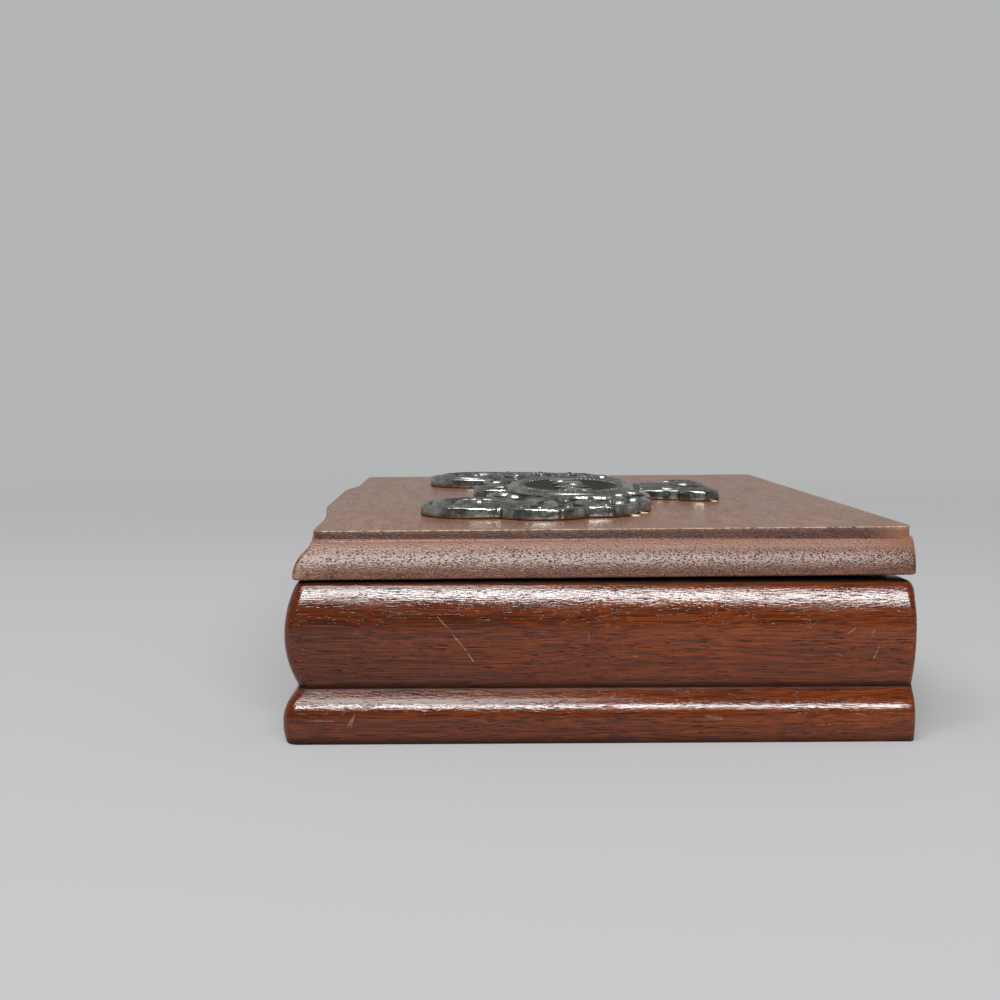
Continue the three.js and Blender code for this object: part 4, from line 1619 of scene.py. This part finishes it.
@dataclass
class ButtHinge:
    """A brass butt hinge: two leaves, a pin and four slotted screws."""

    side: Side
    brass: Material
    leaf_arris: float = 0.08
    knuckles: int = 3
    knuckle_gap: float = 0.3
    knuckle_arris: float = 0.12
    pin_radius: float = 0.5
    pin_arris: float = 0.15
    bore_clearance: float = 0.12
    screw_inset: float = 4.0
    screw_spread: float = 6.5
    head_radius: float = 1.6
    shank_radius: float = 0.8
    head_depth: float = 0.75
    rim_depth: float = 0.15
    screw_length: float = 6.0
    point_length: float = 1.6
    sink_spare: float = 0.1
    recess: float = 0.05
    slot_width: float = 0.4
    slot_depth: float = 0.35

    @property
    def middle(self) -> float:
        """The hinge's middle along X."""
        return self.side.value * LAYOUT.hinge_x

    @property
    def start(self) -> float:
        """The hinge's left end along X."""
        return self.middle - LAYOUT.leaf_length / 2

    def bar(
        self, radius: float, start: float, end: float, sides: int = 40, arris: float = 0.0
    ) -> Mesh:
        """Makes a round bar on the pin's axis between two places along X."""
        places = (Vector((x, LAYOUT.hinge_y, LAYOUT.hinge_z)) for x in (start, end))
        return rod(radius, *places, sides, arris)

    def leaf(self, owner: int) -> Mesh:
        """Makes one leaf with its knuckles, its bore and its countersinks.

        Args:
            owner: 1 for the lid's leaf, -1 for the case's.

        Returns:
            A closed mesh.
        """
        face = LAYOUT.hinge_z + owner * LAYOUT.leaf_gap / 2
        low, high = sorted((face, face + owner * LAYOUT.leaf_thickness))
        start, end = self.start, self.start + LAYOUT.leaf_length
        front = LAYOUT.hinge_y - LAYOUT.leaf_reach
        plate = block((start, front, low), (end, LAYOUT.hinge_y, high), self.leaf_arris)
        gap = self.knuckle_gap
        pitch = (LAYOUT.leaf_length + gap) / self.knuckles
        outer = LAYOUT.barrel_radius + LAYOUT.clearance
        own, other = [], []
        for i in range(self.knuckles):
            x0, x1 = start + i * pitch, start + (i + 1) * pitch - gap
            if i % 2 == (1 if owner > 0 else 0):
                own.append(self.bar(LAYOUT.barrel_radius, x0, x1, arris=self.knuckle_arris))
            else:
                other.append(self.bar(outer, x0 - gap, x1 + gap))
        bore = self.bar(self.pin_radius + self.bore_clearance, start - 1, end + 1, 24)
        head_z = face + owner * self.recess
        sinks = [self.turned(x, head_z, owner, self.sink_spare) for x in self.screw_places()]
        return carved(carved(carved(plate, other), own, "UNION"), [bore, *sinks])

    def screw_places(self) -> list[float]:
        """Gives the two screws' places along X."""
        return [self.middle - self.screw_spread, self.middle + self.screw_spread]

    def turned(self, x: float, z: float, owner: int, spare: float) -> Mesh:
        """Turns a countersunk screw about its axis.

        Args:
            x: its place along X.
            z: the height of its head's face.
            owner: 1 if its point looks up, -1 if it looks down.
            spare: how much larger it is than the screw itself.

        Returns:
            A closed mesh.
        """
        shank, head = self.shank_radius + spare, self.head_radius + spare
        profile = [
            (0.0, self.screw_length + spare),
            (shank, self.screw_length - self.point_length),
            (shank, self.head_depth + spare),
            (head, self.rim_depth + spare),
            (head, -spare + 0.03),
            (head - 0.05, -spare),
            (0.0, -spare),
        ]
        bm = bmesh.new()
        points = [bm.verts.new((radius, 0, depth)) for radius, depth in profile]
        edges = [bm.edges.new(pair) for pair in zip(points, points[1:])]
        bmesh.ops.spin(
            bm,
            geom=[*points, *edges],
            cent=(0, 0, 0),
            axis=(0, 0, 1),
            angle=2 * math.pi,
            steps=32,
            use_merge=True,
        )
        bmesh.ops.remove_doubles(bm, verts=bm.verts, dist=1e-4)
        bmesh.ops.scale(bm, vec=(1, 1, owner), verts=bm.verts)
        bmesh.ops.translate(bm, vec=(x, LAYOUT.hinge_y - self.screw_inset, z), verts=bm.verts)
        bmesh.ops.recalc_face_normals(bm, faces=bm.faces)
        return bm

    def screw(self, x: float, owner: int) -> Mesh:
        """Makes a screw with its slot turned a little out of line.

        Args:
            x: its place along X.
            owner: 1 for the lid's screws, -1 for the case's.

        Returns:
            A closed mesh.
        """
        z = LAYOUT.hinge_z + owner * (LAYOUT.leaf_gap / 2 + self.recess)
        low, high = sorted((z - owner, z + owner * self.slot_depth))
        half = self.slot_width / 2
        slot = block((-half, -3, low), (half, 3, high))
        turn = Matrix.Rotation(math.radians(37 * x % 180), 4, "Z")
        bmesh.ops.transform(slot, matrix=turn, verts=slot.verts)
        bmesh.ops.translate(slot, vec=(x, LAYOUT.hinge_y - self.screw_inset, 0), verts=slot.verts)
        return carved(self.turned(x, z, owner, 0.0), [slot])

    def finish(self, bm: Mesh, node: str, form: str, body: str, crease: float = 30.0) -> None:
        """Finishes a brass piece that stands for a node, and adds its form to its name."""
        finished(bm, f"{node}_{form}", body, self.brass, [node], crease)

    def build(self) -> None:
        """Makes the hinge's seven pieces."""
        word = self.side.word
        for owner, body in ((-1, "case"), (1, "lid")):
            self.finish(self.leaf(owner), f"{body}_hinge_leaf_{word}", "brass", body)
            for number, x in enumerate(self.screw_places(), 1):
                self.finish(self.screw(x, owner), f"{body}_screw_{word}_{number}", "slotted", body)
        end = self.start + LAYOUT.leaf_length
        pin = self.bar(self.pin_radius, self.start, end, 24, self.pin_arris)
        self.finish(pin, f"hinge_pin_{word}", "domed", "case", crease=38)


# Cartouche


@dataclass(frozen=True)
class Lobe:
    """A round lobe of the cartouche's plan, as shares of half its length and half its width."""

    along: float
    across: float
    radius: float


@dataclass(frozen=True)
class SuitMark:
    """One suit's mark, as discs (out, up, radius) and plates, in shares of the marks' size."""

    discs: tuple[Point3, ...] = ()
    plates: tuple[tuple[Point, ...], ...] = ()


STEM = ((-0.14, -0.46), (0.14, -0.46), (0, 0.05))
SUIT_MARKS = (
    SuitMark(
        ((-0.22, -0.14, 0.25), (0.22, -0.14, 0.25)),
        (((-0.47, -0.02), (0, 0.48), (0.47, -0.02), (0, -0.14)), STEM),
    ),
    SuitMark(
        ((-0.22, 0.14, 0.25), (0.22, 0.14, 0.25)),
        (((-0.47, 0.02), (0, -0.48), (0.47, 0.02), (0, 0.14)),),
    ),
    SuitMark(plates=(((-0.34, 0), (0, -0.48), (0.34, 0), (0, 0.48)),)),
    SuitMark(((-0.21, -0.06, 0.2), (0.21, -0.06, 0.2), (0, 0.24, 0.2)), (STEM,)),
)


@dataclass
class Cartouche:
    """The cast scroll cartouche, with a medallion of the four suits' marks, glued on the lid."""

    metal: Material
    glue: Material
    middle: Point = (1.9, 0.05)
    half_length: float = 56.5
    half_width: float = 35.0
    under: float = 39.85
    floor: float = 41.5
    plate: float = 42.05
    disc_inset: float = 0.25
    rim_radius: float = 0.64
    rim_sink: float = 0.55
    rim_steps: int = 120
    ridge_radius: float = 1.15
    ridge_steps: int = 26
    volute_steps: int = 90
    medallion_half: Point = (23.6, 13.6)
    medallion_rise: float = 0.3
    medallion_rim: Point = (23.9, 13.9)
    medallion_rim_steps: int = 140
    medallion_field: Point = (21.2, 11.2)
    bead_ring: Point = (21.7, 11.7)
    bead_radius: float = 0.62
    beads: int = 64
    mark_size: float = 8.4
    mark_pitch: float = 10.4
    mark_rise: float = 0.8
    crest_root: float = 14.2
    flutes: int = 7
    lean: float = 0.22
    filing: float = 0.22
    filing_size: float = 2.6
    worn_off: float = 0.05
    voxel: float = 0.2
    kept: float = 0.29
    lobes: dict[str, Lobe] = field(
        default_factory=lambda: {
            "volute": Lobe(0.71, -0.634, 0.354),
            "end": Lobe(0.805, -0.263, 0.314),
            "shoulder": Lobe(0.754, 0.037, 0.266),
            "step": Lobe(0.63, 0.18, 0.234),
            "flank": Lobe(0.39, -0.063, 0.529),
            "middle": Lobe(0, 0.02, 0.5),
            "pendant": Lobe(0, -0.5, 0.17),
            "crest": Lobe(0, 0.64, 0.33),
            "arm": Lobe(0.1, 0.7, 0.2),
            "arm_tip": Lobe(0.19, 0.82, 0.15),
        }
    )
    ridges: tuple[tuple[Point, ...], ...] = (
        ((0.673, -0.314), (0.558, -0.214), (0.504, 0), (0.549, 0.2), (0.646, 0.243), (0.69, 0.143)),
        ((0.69, -0.24), (0.78, -0.2), (0.87, -0.24), (0.95, -0.3)),
        ((0.68, -0.05), (0.77, 0), (0.86, 0.06)),
        ((0.08, 0.46), (0.1, 0.58), (0.13, 0.68), (0.19, 0.76)),
    )
    springs: tuple[tuple[float, ...], ...] = (
        (0.60, -0.12, 200, 4.6),
        (0.60, 0.05, 170, 4.4),
        (0.585, -0.3, 225, 4.6),
        (0.88, -0.12, -8, 3.4),
        (0.9, -0.38, -30, 3.6),
        (0.83, 0.1, 25, 3.0),
        (0.74, 0.2, 65, 3.0),
        (0.62, 0.32, 100, 3.0),
        (0.34, -0.47, 250, 4.4),
        (0.44, -0.42, 238, 4.2),
        (0.40, 0.28, 100, 4.2),
        (0.32, 0.36, 92, 4.4),
    )
    squeezes: tuple[tuple[float, ...], ...] = (
        (49.0, 9.4, 0.8, 1.7),
        (43.6, 12.2, 0.6, 1.5),
        (17.0, 31.9, 0.6, 1.3),
        (54.2, -14.8, 0.5, 1.3),
    )

    def about(self, x: float, y: float) -> Vector:
        """Gives a place from its millimetres about the cartouche's middle."""
        return Vector((self.middle[0] + x, self.middle[1] + y, 0))

    def place(self, along: float, across: float, side: int) -> Vector:
        """Gives a place on the cartouche from its shares, mirrored for side -1."""
        return self.about(side * along * self.half_length, across * self.half_width)

    def discs(self) -> list[tuple[Vector, float]]:
        """Gives the middle and radius of every lobe."""
        return [
            (
                self.place(lobe.along, lobe.across, side),
                lobe.radius * self.half_width - self.disc_inset,
            )
            for lobe in self.lobes.values()
            for side in ((-1, 1) if lobe.along else (1,))
        ]

    def puck(self, middle: Vector, radius: float, low: float, high: float, round_by: float) -> Mesh:
        """Makes a flat round form with a rounded top edge.

        Args:
            middle: where its axis stands.
            radius: its radius.
            low: the height of its underside.
            high: the height of its top.
            round_by: the rounding of its top edge.

        Returns:
            A closed mesh.
        """
        ends = (Vector((middle.x, middle.y, z)) for z in (low, high))
        bm = rod(radius, *ends, sides=96)
        rim = [e for e in bm.edges if all(v.co.z > high - 1e-4 for v in e.verts)]
        ease(bm, rim, round_by, 3)
        return bm

    def tube(
        self,
        path: Sequence[Vector],
        radii: Sequence[float],
        height: float,
        flat: float = 1.0,
        power: float = 1.0,
    ) -> Mesh:
        """Makes a rounded ridge along a path.

        Args:
            path: the path's points.
            radii: the ridge's half width at each point.
            height: the height of its middle line.
            flat: its half height as a share of its half width.
            power: 1 for a round section, and less for a squarer one.

        Returns:
            A closed mesh.
        """
        sides = 16
        turns = [2 * math.pi * (i + 0.5) / sides for i in range(sides)]

        def squared(share: float) -> float:
            """Moves a sine or cosine towards 1 or -1."""
            return math.copysign(abs(share) ** power, share)

        ring = [(squared(math.cos(a)), squared(math.sin(a))) for a in turns]

        def place(i: int, station: int) -> Vector:
            """Gives where the ring's point of a number lies at a point of the path."""
            before, after = path[max(station - 1, 0)], path[min(station + 1, len(path) - 1)]
            along = (after - before).normalized()
            middle, reach = path[station], radii[station]
            out, up = ring[i]
            x = middle.x - along.y * out * reach
            y = middle.y + along.x * out * reach
            return Vector((x, y, height + up * reach * flat))

        return sweep(ring, range(len(path)), place)

    def rims(self) -> list[Mesh]:
        """Makes the raised rim that follows the plan's edge, lobe by lobe."""
        discs = self.discs()
        steps, inset, overlap, shortest = self.rim_steps, 0.62, 0.7, 4
        height, squareness = self.plate - self.rim_sink, 0.45
        made = []
        for middle, radius in discs:
            line = radius - inset
            turns = (2 * math.pi * i / steps for i in range(steps))
            places = [middle + line * Vector((math.cos(a), math.sin(a), 0)) for a in turns]
            others = [disc for disc in discs if disc != (middle, radius)]
            free = [all((p - q).length > r - overlap for q, r in others) for p in places]
            if not any(free):
                continue
            first = next((i for i in range(steps) if free[i] and not free[i - 1]), 0)
            run: list[Vector] = []
            for i in range(steps + 1):
                spot = (first + i) % steps
                if free[spot] and i < steps:
                    run.append(places[spot])
                    continue
                if len(run) >= shortest:
                    radii = [self.rim_radius] * len(run)
                    made.append(self.tube(run, radii, height, power=squareness))
                run = []
        return made

    def curve(self, points: Sequence[Vector], steps: int) -> list[Vector]:
        """Gives evenly numbered points of a smooth curve through places."""
        padded = [2 * points[0] - points[1], *points, 2 * points[-1] - points[-2]]
        made = []
        for i in range(steps + 1):
            whole = (len(points) - 1) * i / steps
            k = min(int(whole), len(points) - 2)
            t = whole - k
            a, b, c, d = padded[k : k + 4]
            bend, twist = 2 * a - 5 * b + 4 * c - d, 3 * b - a - 3 * c + d
            made.append(0.5 * ((2 * b) + (c - a) * t + bend * t**2 + twist * t**3))
        return made

    def scrolls(self) -> list[Mesh]:
        """Makes the ridges and the spirals of the volutes."""
        made = []
        steps = self.ridge_steps
        shares = [i / steps for i in range(steps + 1)]
        # Each ridge swells from its root over its first seven steps and thins to its tip.
        swells = [0.35 + 0.65 * smooth_step(i / 7) for i in range(steps + 1)]
        radii = [self.ridge_radius * (1 - 0.45 * s) * swell for s, swell in zip(shares, swells)]
        for side in (-1, 1):
            for path in self.ridges:
                points = self.curve([self.place(*share, side) for share in path], steps)
                made.append(self.tube(points, radii, self.plate - 0.2, 0.85))
            made += self.spiral("volute", side, start=100, turns=-2.1, eye=1.25)
            made += self.spiral("arm_tip", side, start=-90, turns=1.5, eye=0.8)
        return made

    def spiral(self, name: str, side: int, start: float, turns: float, eye: float) -> list[Mesh]:
        """Makes the spiral of one lobe and its eye.

        Args:
            name: the lobe's name.
            side: 1 for the right half of the cartouche, -1 for the left.
            start: where the spiral begins, in degrees.
            turns: how many turns it makes, below 0 for clockwise ones.
            eye: the radius of its eye.

        Returns:
            Two closed meshes.
        """
        lobe = self.lobes[name]
        middle = self.place(lobe.along, lobe.across, side)
        outer = lobe.radius * self.half_width - 1.1
        points, radii = [], []
        for i in range(self.volute_steps + 1):
            share = i / self.volute_steps
            angle = math.radians(start) + 2 * math.pi * turns * share
            reach = outer * (1 - 0.84 * share)
            ray = Vector((side * reach * math.cos(angle), reach * math.sin(angle), 0))
            points.append(middle + ray)
            radii.append(1.05 - 0.4 * share)
        ridge = self.tube(points, radii, self.plate - 0.25, 0.9)
        return [ridge, self.bead(middle, eye, self.plate - 0.2)]

    def bead(
        self,
        middle: Vector,
        radius: float,
        z: float,
        stretch: Sequence[float] = (1, 1, 1),
        turn: float = 0.0,
    ) -> Mesh:
        """Makes a rounded bead, drawn out and turned where a leaf or a flute needs it.

        Args:
            middle: where it lies.
            radius: its radius before it is drawn out.
            z: its height.
            stretch: how far it is drawn out along X, Y and Z.
            turn: how far it is then turned about Z, in radians.

        Returns:
            A closed mesh.
        """
        bm = bmesh.new()
        bmesh.ops.create_uvsphere(bm, u_segments=16, v_segments=10, radius=radius)
        bmesh.ops.scale(bm, vec=stretch, verts=bm.verts)
        bm.transform(Matrix.Translation((middle.x, middle.y, z)) @ Matrix.Rotation(turn, 4, "Z"))
        return bm

    def leaves(self) -> list[Mesh]:
        """Makes the leaves that spring from the scrolls, the crest's flutes and the tail."""
        made = []

        def fan(root: Vector, degrees: float, reach: float, low: float, shape: Point3) -> None:
            """Adds a leaf that points away from a root."""
            turn = math.radians(degrees)
            spot = root + reach * Vector((math.cos(turn), math.sin(turn), 0))
            made.append(self.bead(spot, 1.0, self.plate - low, shape, turn))

        for side in (-1, 1):
            for along, across, angle, length in self.springs:
                spot = self.place(along, across, side)
                turn = angle if side > 0 else 180 - angle
                fan(spot, turn, 0, 0.35, (length / 2, 0.95, 1.0))
        root = self.about(0, self.crest_root)
        for i in range(self.flutes):
            fan(root, 36 + 18 * i, 7.2, 0.3, (4.9, 1.15, 0.95))
        bud = self.about(0, self.crest_root + 1.2)
        made.append(self.bead(bud, 2.0, self.plate - 0.5, (1.3, 1, 0.7)))
        tail = self.place(0, -0.53, 1)
        for turn in (-125, -90, -55):
            fan(tail, turn, 1.6, 0.3, (2.6, 0.9, 0.9))
        return made

    def oval(self, half: Point, steps: int) -> list[Vector]:
        """Gives places round an oval about the medallion's middle."""
        turns = (2 * math.pi * i / steps for i in range(steps))
        return [self.about(half[0] * math.cos(a), half[1] * math.sin(a)) for a in turns]

    def medallion(self) -> list[Mesh]:
        """Makes the medallion's field, its rim and its ring of beads."""
        top = self.plate + self.medallion_rise
        ground = self.puck(Vector((0, 0, 0)), 1.0, self.floor - 0.5, top, 0.01)
        bmesh.ops.scale(ground, vec=(*self.medallion_half, 1), verts=ground.verts)
        bmesh.ops.translate(ground, vec=(*self.middle, 0), verts=ground.verts)
        rim = self.oval(self.medallion_rim, self.medallion_rim_steps)
        closed = [*rim, rim[0], rim[1]]
        ring = self.tube(closed, [1.1] * len(closed), self.plate - 0.15)
        spots = self.oval(self.bead_ring, self.beads)
        beads = [self.bead(spot, self.bead_radius, self.plate + 0.4) for spot in spots]
        return [ground, ring, *beads]

    def pillow(self, outline: Sequence[Vector], low: float) -> Mesh:
        """Makes a raised plate of an outline."""
        bm = bmesh.new()
        face = bm.faces.new([bm.verts.new((p.x, p.y, low)) for p in outline])
        lifted = bmesh.ops.extrude_face_region(bm, geom=[face], use_keep_orig=True)
        top = [v for v in lifted["geom"] if isinstance(v, bmesh.types.BMVert)]
        bmesh.ops.translate(bm, vec=(0, 0, self.mark_rise), verts=top)
        bmesh.ops.recalc_face_normals(bm, faces=bm.faces)
        return bm

    def marks(self) -> list[Mesh]:
        """Makes the four suits' marks, in a row on the medallion."""
        size, low = self.mark_size, self.plate + 0.1
        high = low + self.mark_rise
        made = []
        for number, mark in enumerate(SUIT_MARKS):
            middle = self.about((number - 1.5) * self.mark_pitch, 0)
            for out, up, radius in mark.discs:
                spot = middle + size * Vector((out, up, 0))
                made.append(self.puck(spot, radius * size, low, high, 0.06))
            for plate in mark.plates:
                made.append(self.pillow([middle + size * Vector((*p, 0)) for p in plate], low))
        return made

    def casting(self) -> Mesh:
        """Fuses all the forms into one casting, softened as from a worn mould."""
        forms = [self.puck(*disc, self.under, self.floor, 0.1) for disc in self.discs()]
        for make in (self.rims, self.scrolls, self.leaves, self.medallion, self.marks):
            forms += make()
        lump = scratch_object(joined(forms), "lump")
        remesh = lump.modifiers.new("fuse", "REMESH")
        remesh.mode = "VOXEL"
        remesh.voxel_size = self.voxel
        thin = lump.modifiers.new("thin", "DECIMATE")
        thin.ratio = self.kept
        bm = evaluated(lump)
        axes = {f"use_axis_{axis}": True for axis in "xyz"}
        for _ in range(2):
            bmesh.ops.smooth_vert(bm, verts=bm.verts, factor=0.4, **axes)
        self.lean_walls(bm)
        for v in bm.verts:
            v.co.z = max(v.co.z, self.under)
            if v.co.z < self.under + 0.2 and v.normal.z < -0.7:
                v.co.z = self.under
        beneath = [f for f in bm.faces if all(v.co.z < self.under + 1e-4 for v in f.verts)]
        bmesh.ops.dissolve_faces(bm, faces=beneath, use_verts=True)
        self.shade_hollows(bm)
        for v in bm.verts:
            v.co.z += LAYOUT.tilted(v.co.y) - self.worn_off * rising(v.co.z, self.plate, 0.8)
        return bm

    def lean_walls(self, bm: Mesh) -> None:
        """Spreads the walls' feet outwards, as a mould needs, and files them a little uneven."""
        bm.normal_update()
        facets = painted(bm, "facets")
        shifts = {}
        for v in bm.verts:
            share = abs(v.co.x - self.middle[0]) / self.half_length
            v[facets] = near_end = rising(share, 0.35, 0.3)
            if v.co.z < self.plate + 0.1:
                height = (v.co.z - self.under) / (self.plate - self.under)
                lean = self.lean * (0.6 + 0.4 * near_end) * (1 - height)
                size = self.filing_size
                uneven = noise.noise(Vector((v.co.x / size, v.co.y / size, height * 0.6)))
                filed = self.filing * uneven * (1 - rising(height, 0.8, 0.3))
                shifts[v] = Vector((v.normal.x, v.normal.y, 0)) * (lean - filed)
        for v, shift in shifts.items():
            v.co += shift

    def depths(self, bm: Mesh, rounds: int = 5) -> dict[bmesh.types.BMVert, float]:
        """Gives how deep each vertex lies below its neighbours, evened out over some rounds."""
        near = {v: [e.other_vert(v) for e in v.link_edges] for v in bm.verts}
        depth = {
            v: sum((o.co - v.co).dot(v.normal) for o in others) / max(len(others), 1)
            for v, others in near.items()
        }
        for _ in range(rounds):
            depth = {
                v: (depth[v] + sum(depth[o] for o in others)) / (1 + len(others))
                for v, others in near.items()
            }
        return depth

    def shade_hollows(self, bm: Mesh) -> None:
        """Paints where dark patina lies, and which faces are the casting's walls."""
        hollow, walls = painted(bm, "hollow"), painted(bm, "walls")
        bm.normal_update()
        half_x, half_y = self.medallion_field
        for v, depth in self.depths(bm).items():
            x, y = v.co.x - self.middle[0], v.co.y - self.middle[1]
            flat = rising(abs(v.normal.z), 0.3, 0.4)
            low = 1 - rising(v.co.z, self.floor - 0.3, 1.2)
            ground = 1 - rising(v.co.z, self.plate + 0.35, 0.3)
            inside = math.hypot(x / half_x, y / half_y) < 1
            sunk = min(max(0.32 + depth * 16, 0), 1)
            v[walls] = (1 - flat) * (1 - rising(v.co.z, self.plate - 0.2, 0.3))
            v[hollow] = 0.75 * sunk + 0.4 * low * flat + 0.4 * inside * ground

    def glue_line(self) -> Mesh:
        """Makes the glue under the casting, with the little that squeezed out."""
        bm = bmesh.new()
        bm.from_mesh(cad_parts["ornament_adhesive"].data)
        bmesh.ops.scale(bm, vec=(1 / MM, 1 / MM, 1 / MM), verts=bm.verts)
        bmesh.ops.remove_doubles(bm, verts=bm.verts, dist=1e-3)
        height = LAYOUT.lid_top + 0.02
        squeezed = [
            self.bead(Vector((x, y, 0)), radius, height, (length, 1, 0.35), turn=1.2)
            for x, y, radius, length in self.squeezes
        ]
        bm = carved(bm, squeezed, "UNION")
        for v in bm.verts:
            v.co.z = max(v.co.z, LAYOUT.lid_top) + LAYOUT.tilted(v.co.y)
        return bm

    def build(self) -> None:
        """Makes the casting and its glue."""
        casting, glue = self.casting(), self.glue_line()
        finished(casting, "cartouche_cast", "lid", self.metal, ["ornament"], 70)
        node = "ornament_adhesive"
        finished(glue, "cartouche_glue", "lid", self.glue, [node], 50)


# Studio


@dataclass(frozen=True)
class SoftLight:
    """A soft light panel: its middle in metres, its width and height, its radiance and its roll."""

    name: str
    place: Point3
    size: Point
    radiance: float
    roll: float = 0.0
    mirrored: bool = True
    aim: Point3 = (0.07, 0, 0.03)

    def hang(self) -> None:
        """Hangs the panel, which faces its aim and isn't seen by the camera."""
        data = bpy.data.lights.new(self.name, "AREA")
        data.shape = "RECTANGLE"
        data.size, data.size_y = self.size
        data.energy = self.radiance * math.pi * self.size[0] * self.size[1]
        made = bpy.data.objects.new(self.name, data)
        bpy.context.scene.collection.objects.link(made)
        look = Vector(self.aim) - Vector(self.place)
        turned = look.to_track_quat("-Z", "Y").to_matrix().to_4x4()
        rolled = turned @ Matrix.Rotation(self.roll, 4, "Z")
        made.matrix_world = Matrix.Translation(self.place) @ rolled
        made.visible_camera = False
        made.visible_glossy = self.mirrored


@dataclass
class Studio:
    """The camera at the photograph's angle, a plain pale floor and soft light."""

    camera_place: Point3 = (0.318, -0.025, 0.0662)
    turn: float = math.radians(1.49)
    pitch: float = math.radians(4.925)
    roll: float = math.radians(0.07)
    lens: float = 47.7
    floor_radius: float = 9.0
    floor_colour: Colour = srgb(172, 172, 173)
    floor_fade: Point = (0.22, 0.7)
    backdrop: Colour = srgb(180, 181, 181)
    fill: float = 0.8
    behind_camera: float = 0.15
    ceiling: float = 0.45
    lights: tuple[SoftLight, ...] = (
        SoftLight("key", (2.55, 0.1, 1.53), (2.5, 0.34), 33.0, math.radians(-13)),
        SoftLight("upper", (1.46, -0.7, 2.0), (2.0, 0.8), 9.0),
        SoftLight("overhead", (0.5, 0.0, 2.4), (2.6, 2.6), 0.4, mirrored=False),
    )

    def camera(self) -> None:
        """Makes the camera."""
        data = bpy.data.cameras.new("camera")
        data.lens, data.sensor_width = self.lens, 36
        data.clip_start, data.clip_end = 0.01, 50
        made = bpy.data.objects.new("camera", data)
        bpy.context.scene.collection.objects.link(made)
        level = math.cos(self.pitch)
        look = Vector(
            (-level * math.cos(self.turn), level * math.sin(self.turn), -math.sin(self.pitch))
        )
        turned = look.to_track_quat("-Z", "Y").to_matrix() @ Matrix.Rotation(self.roll, 3, "Z")
        made.matrix_world = Matrix.Translation(self.camera_place) @ turned.to_4x4()
        bpy.context.scene.camera = made

    def floor(self) -> None:
        """Makes the floor, which fades into the backdrop's grey far from the box."""
        bm = bmesh.new()
        bmesh.ops.create_circle(bm, cap_ends=True, segments=96, radius=self.floor_radius)
        made = scratch_object(bm, "floor")
        board = NodeBoard("pale_floor")
        distance = board.nodes.new("ShaderNodeVectorMath")
        distance.operation = "LENGTH"
        board.links.new(board.own_space, distance.inputs[0])
        glow = board.nodes.new("ShaderNodeEmission")
        glow.inputs["Color"].default_value = self.backdrop
        fade = board.nodes.new("ShaderNodeMixShader")
        board.links.new(board.level(distance.outputs["Value"], *self.floor_fade), fade.inputs[0])
        board.links.new(board.shader.outputs["BSDF"], fade.inputs[1])
        board.links.new(glow.outputs["Emission"], fade.inputs[2])
        board.links.new(fade.outputs["Shader"], board.surface)
        pale = board.dress(Base_Color=self.floor_colour, Roughness=0.9, Specular_IOR_Level=0.1)
        made.data.materials.append(pale)
        made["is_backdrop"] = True

    def world(self) -> None:
        """Makes the soft light from all round, which is dim behind the camera.

        The camera sees the plain backdrop, mirrored rays a dimmer ceiling, and the rest the fill.
        """
        world = bpy.data.worlds.new("studio")
        bpy.context.scene.world = world
        world.use_nodes = True
        nodes, links = world.node_tree.nodes, world.node_tree.links
        rays = nodes.new("ShaderNodeLightPath").outputs
        facing = nodes.new("ShaderNodeSeparateXYZ")
        links.new(nodes.new("ShaderNodeTexCoord").outputs["Generated"], facing.inputs[0])

        def ranged(value: Socket, reach: Point, ends: Sequence[object]) -> Socket:
            """Maps a range of a value to a range between two ends, numbers or sockets."""
            node = nodes.new("ShaderNodeMapRange")
            links.new(value, node.inputs["Value"])
            node.inputs["From Min"].default_value, node.inputs["From Max"].default_value = reach
            for name, end in zip(("To Min", "To Max"), ends):
                if isinstance(end, Socket):
                    links.new(end, node.inputs[name])
                else:
                    node.inputs[name].default_value = end
            return node.outputs["Result"]

        ahead = facing.outputs["X"], (-0.1, 0.6)
        above = ranged(facing.outputs["Z"], (0.25, 0.6), (1.0, self.ceiling))
        mirrored = ranged(*ahead, (above, self.behind_camera))
        soft = ranged(*ahead, (self.fill, self.fill * self.behind_camera))
        unseen = ranged(rays["Is Glossy Ray"], (0, 1), (soft, mirrored))
        strength = ranged(rays["Is Camera Ray"], (0, 1), (unseen, 1.0))
        background = nodes["Background"]
        background.inputs["Color"].default_value = self.backdrop
        links.new(strength, background.inputs["Strength"])

    def build(self) -> None:
        """Sets the whole studio up."""
        bpy.context.scene.view_settings.view_transform = "Standard"
        self.camera()
        self.floor()
        for light in self.lights:
            light.hang()
        self.world()


def main() -> None:
    """Builds the box's sub-assemblies in order."""
    logging.basicConfig(level=logging.INFO, format="%(message)s")
    Studio().build()
    wood_x = Mahogany("mahogany_long", Grain.ALONG_X, start=3.0).material()
    wood_y = Mahogany("mahogany_end_left", Grain.ALONG_Y, start=41.0).material()
    right = Mahogany(
        "mahogany_end_right", Grain.ALONG_Y, start=77.0, warmer=(-50.0, 25.0), marks=END_MARKS
    ).material()
    lid_wood = LidMahogany("mahogany_lid", Grain.ALONG_X, start=120.0).material()
    brass = AgedBrass().material()
    baize = Baize().material()
    ends = {Side.LEFT: wood_y, Side.RIGHT: right}
    CaseWalls(wood_x, ends).build()
    BaseMouldings(wood_x, ends).build()
    Fittings(wood_y, baize, SealedPlywood().material()).build()
    MouldedLid(lid_wood, baize).build()
    Cartouche(CastPewter().material(), AmberGlue().material()).build()
    for side in Side:
        ButtHinge(side, brass).build()
    boxes = [[list(corner) for corner in box] for box in (CAD_BOX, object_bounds())]


if __name__ == "__main__":
    main()
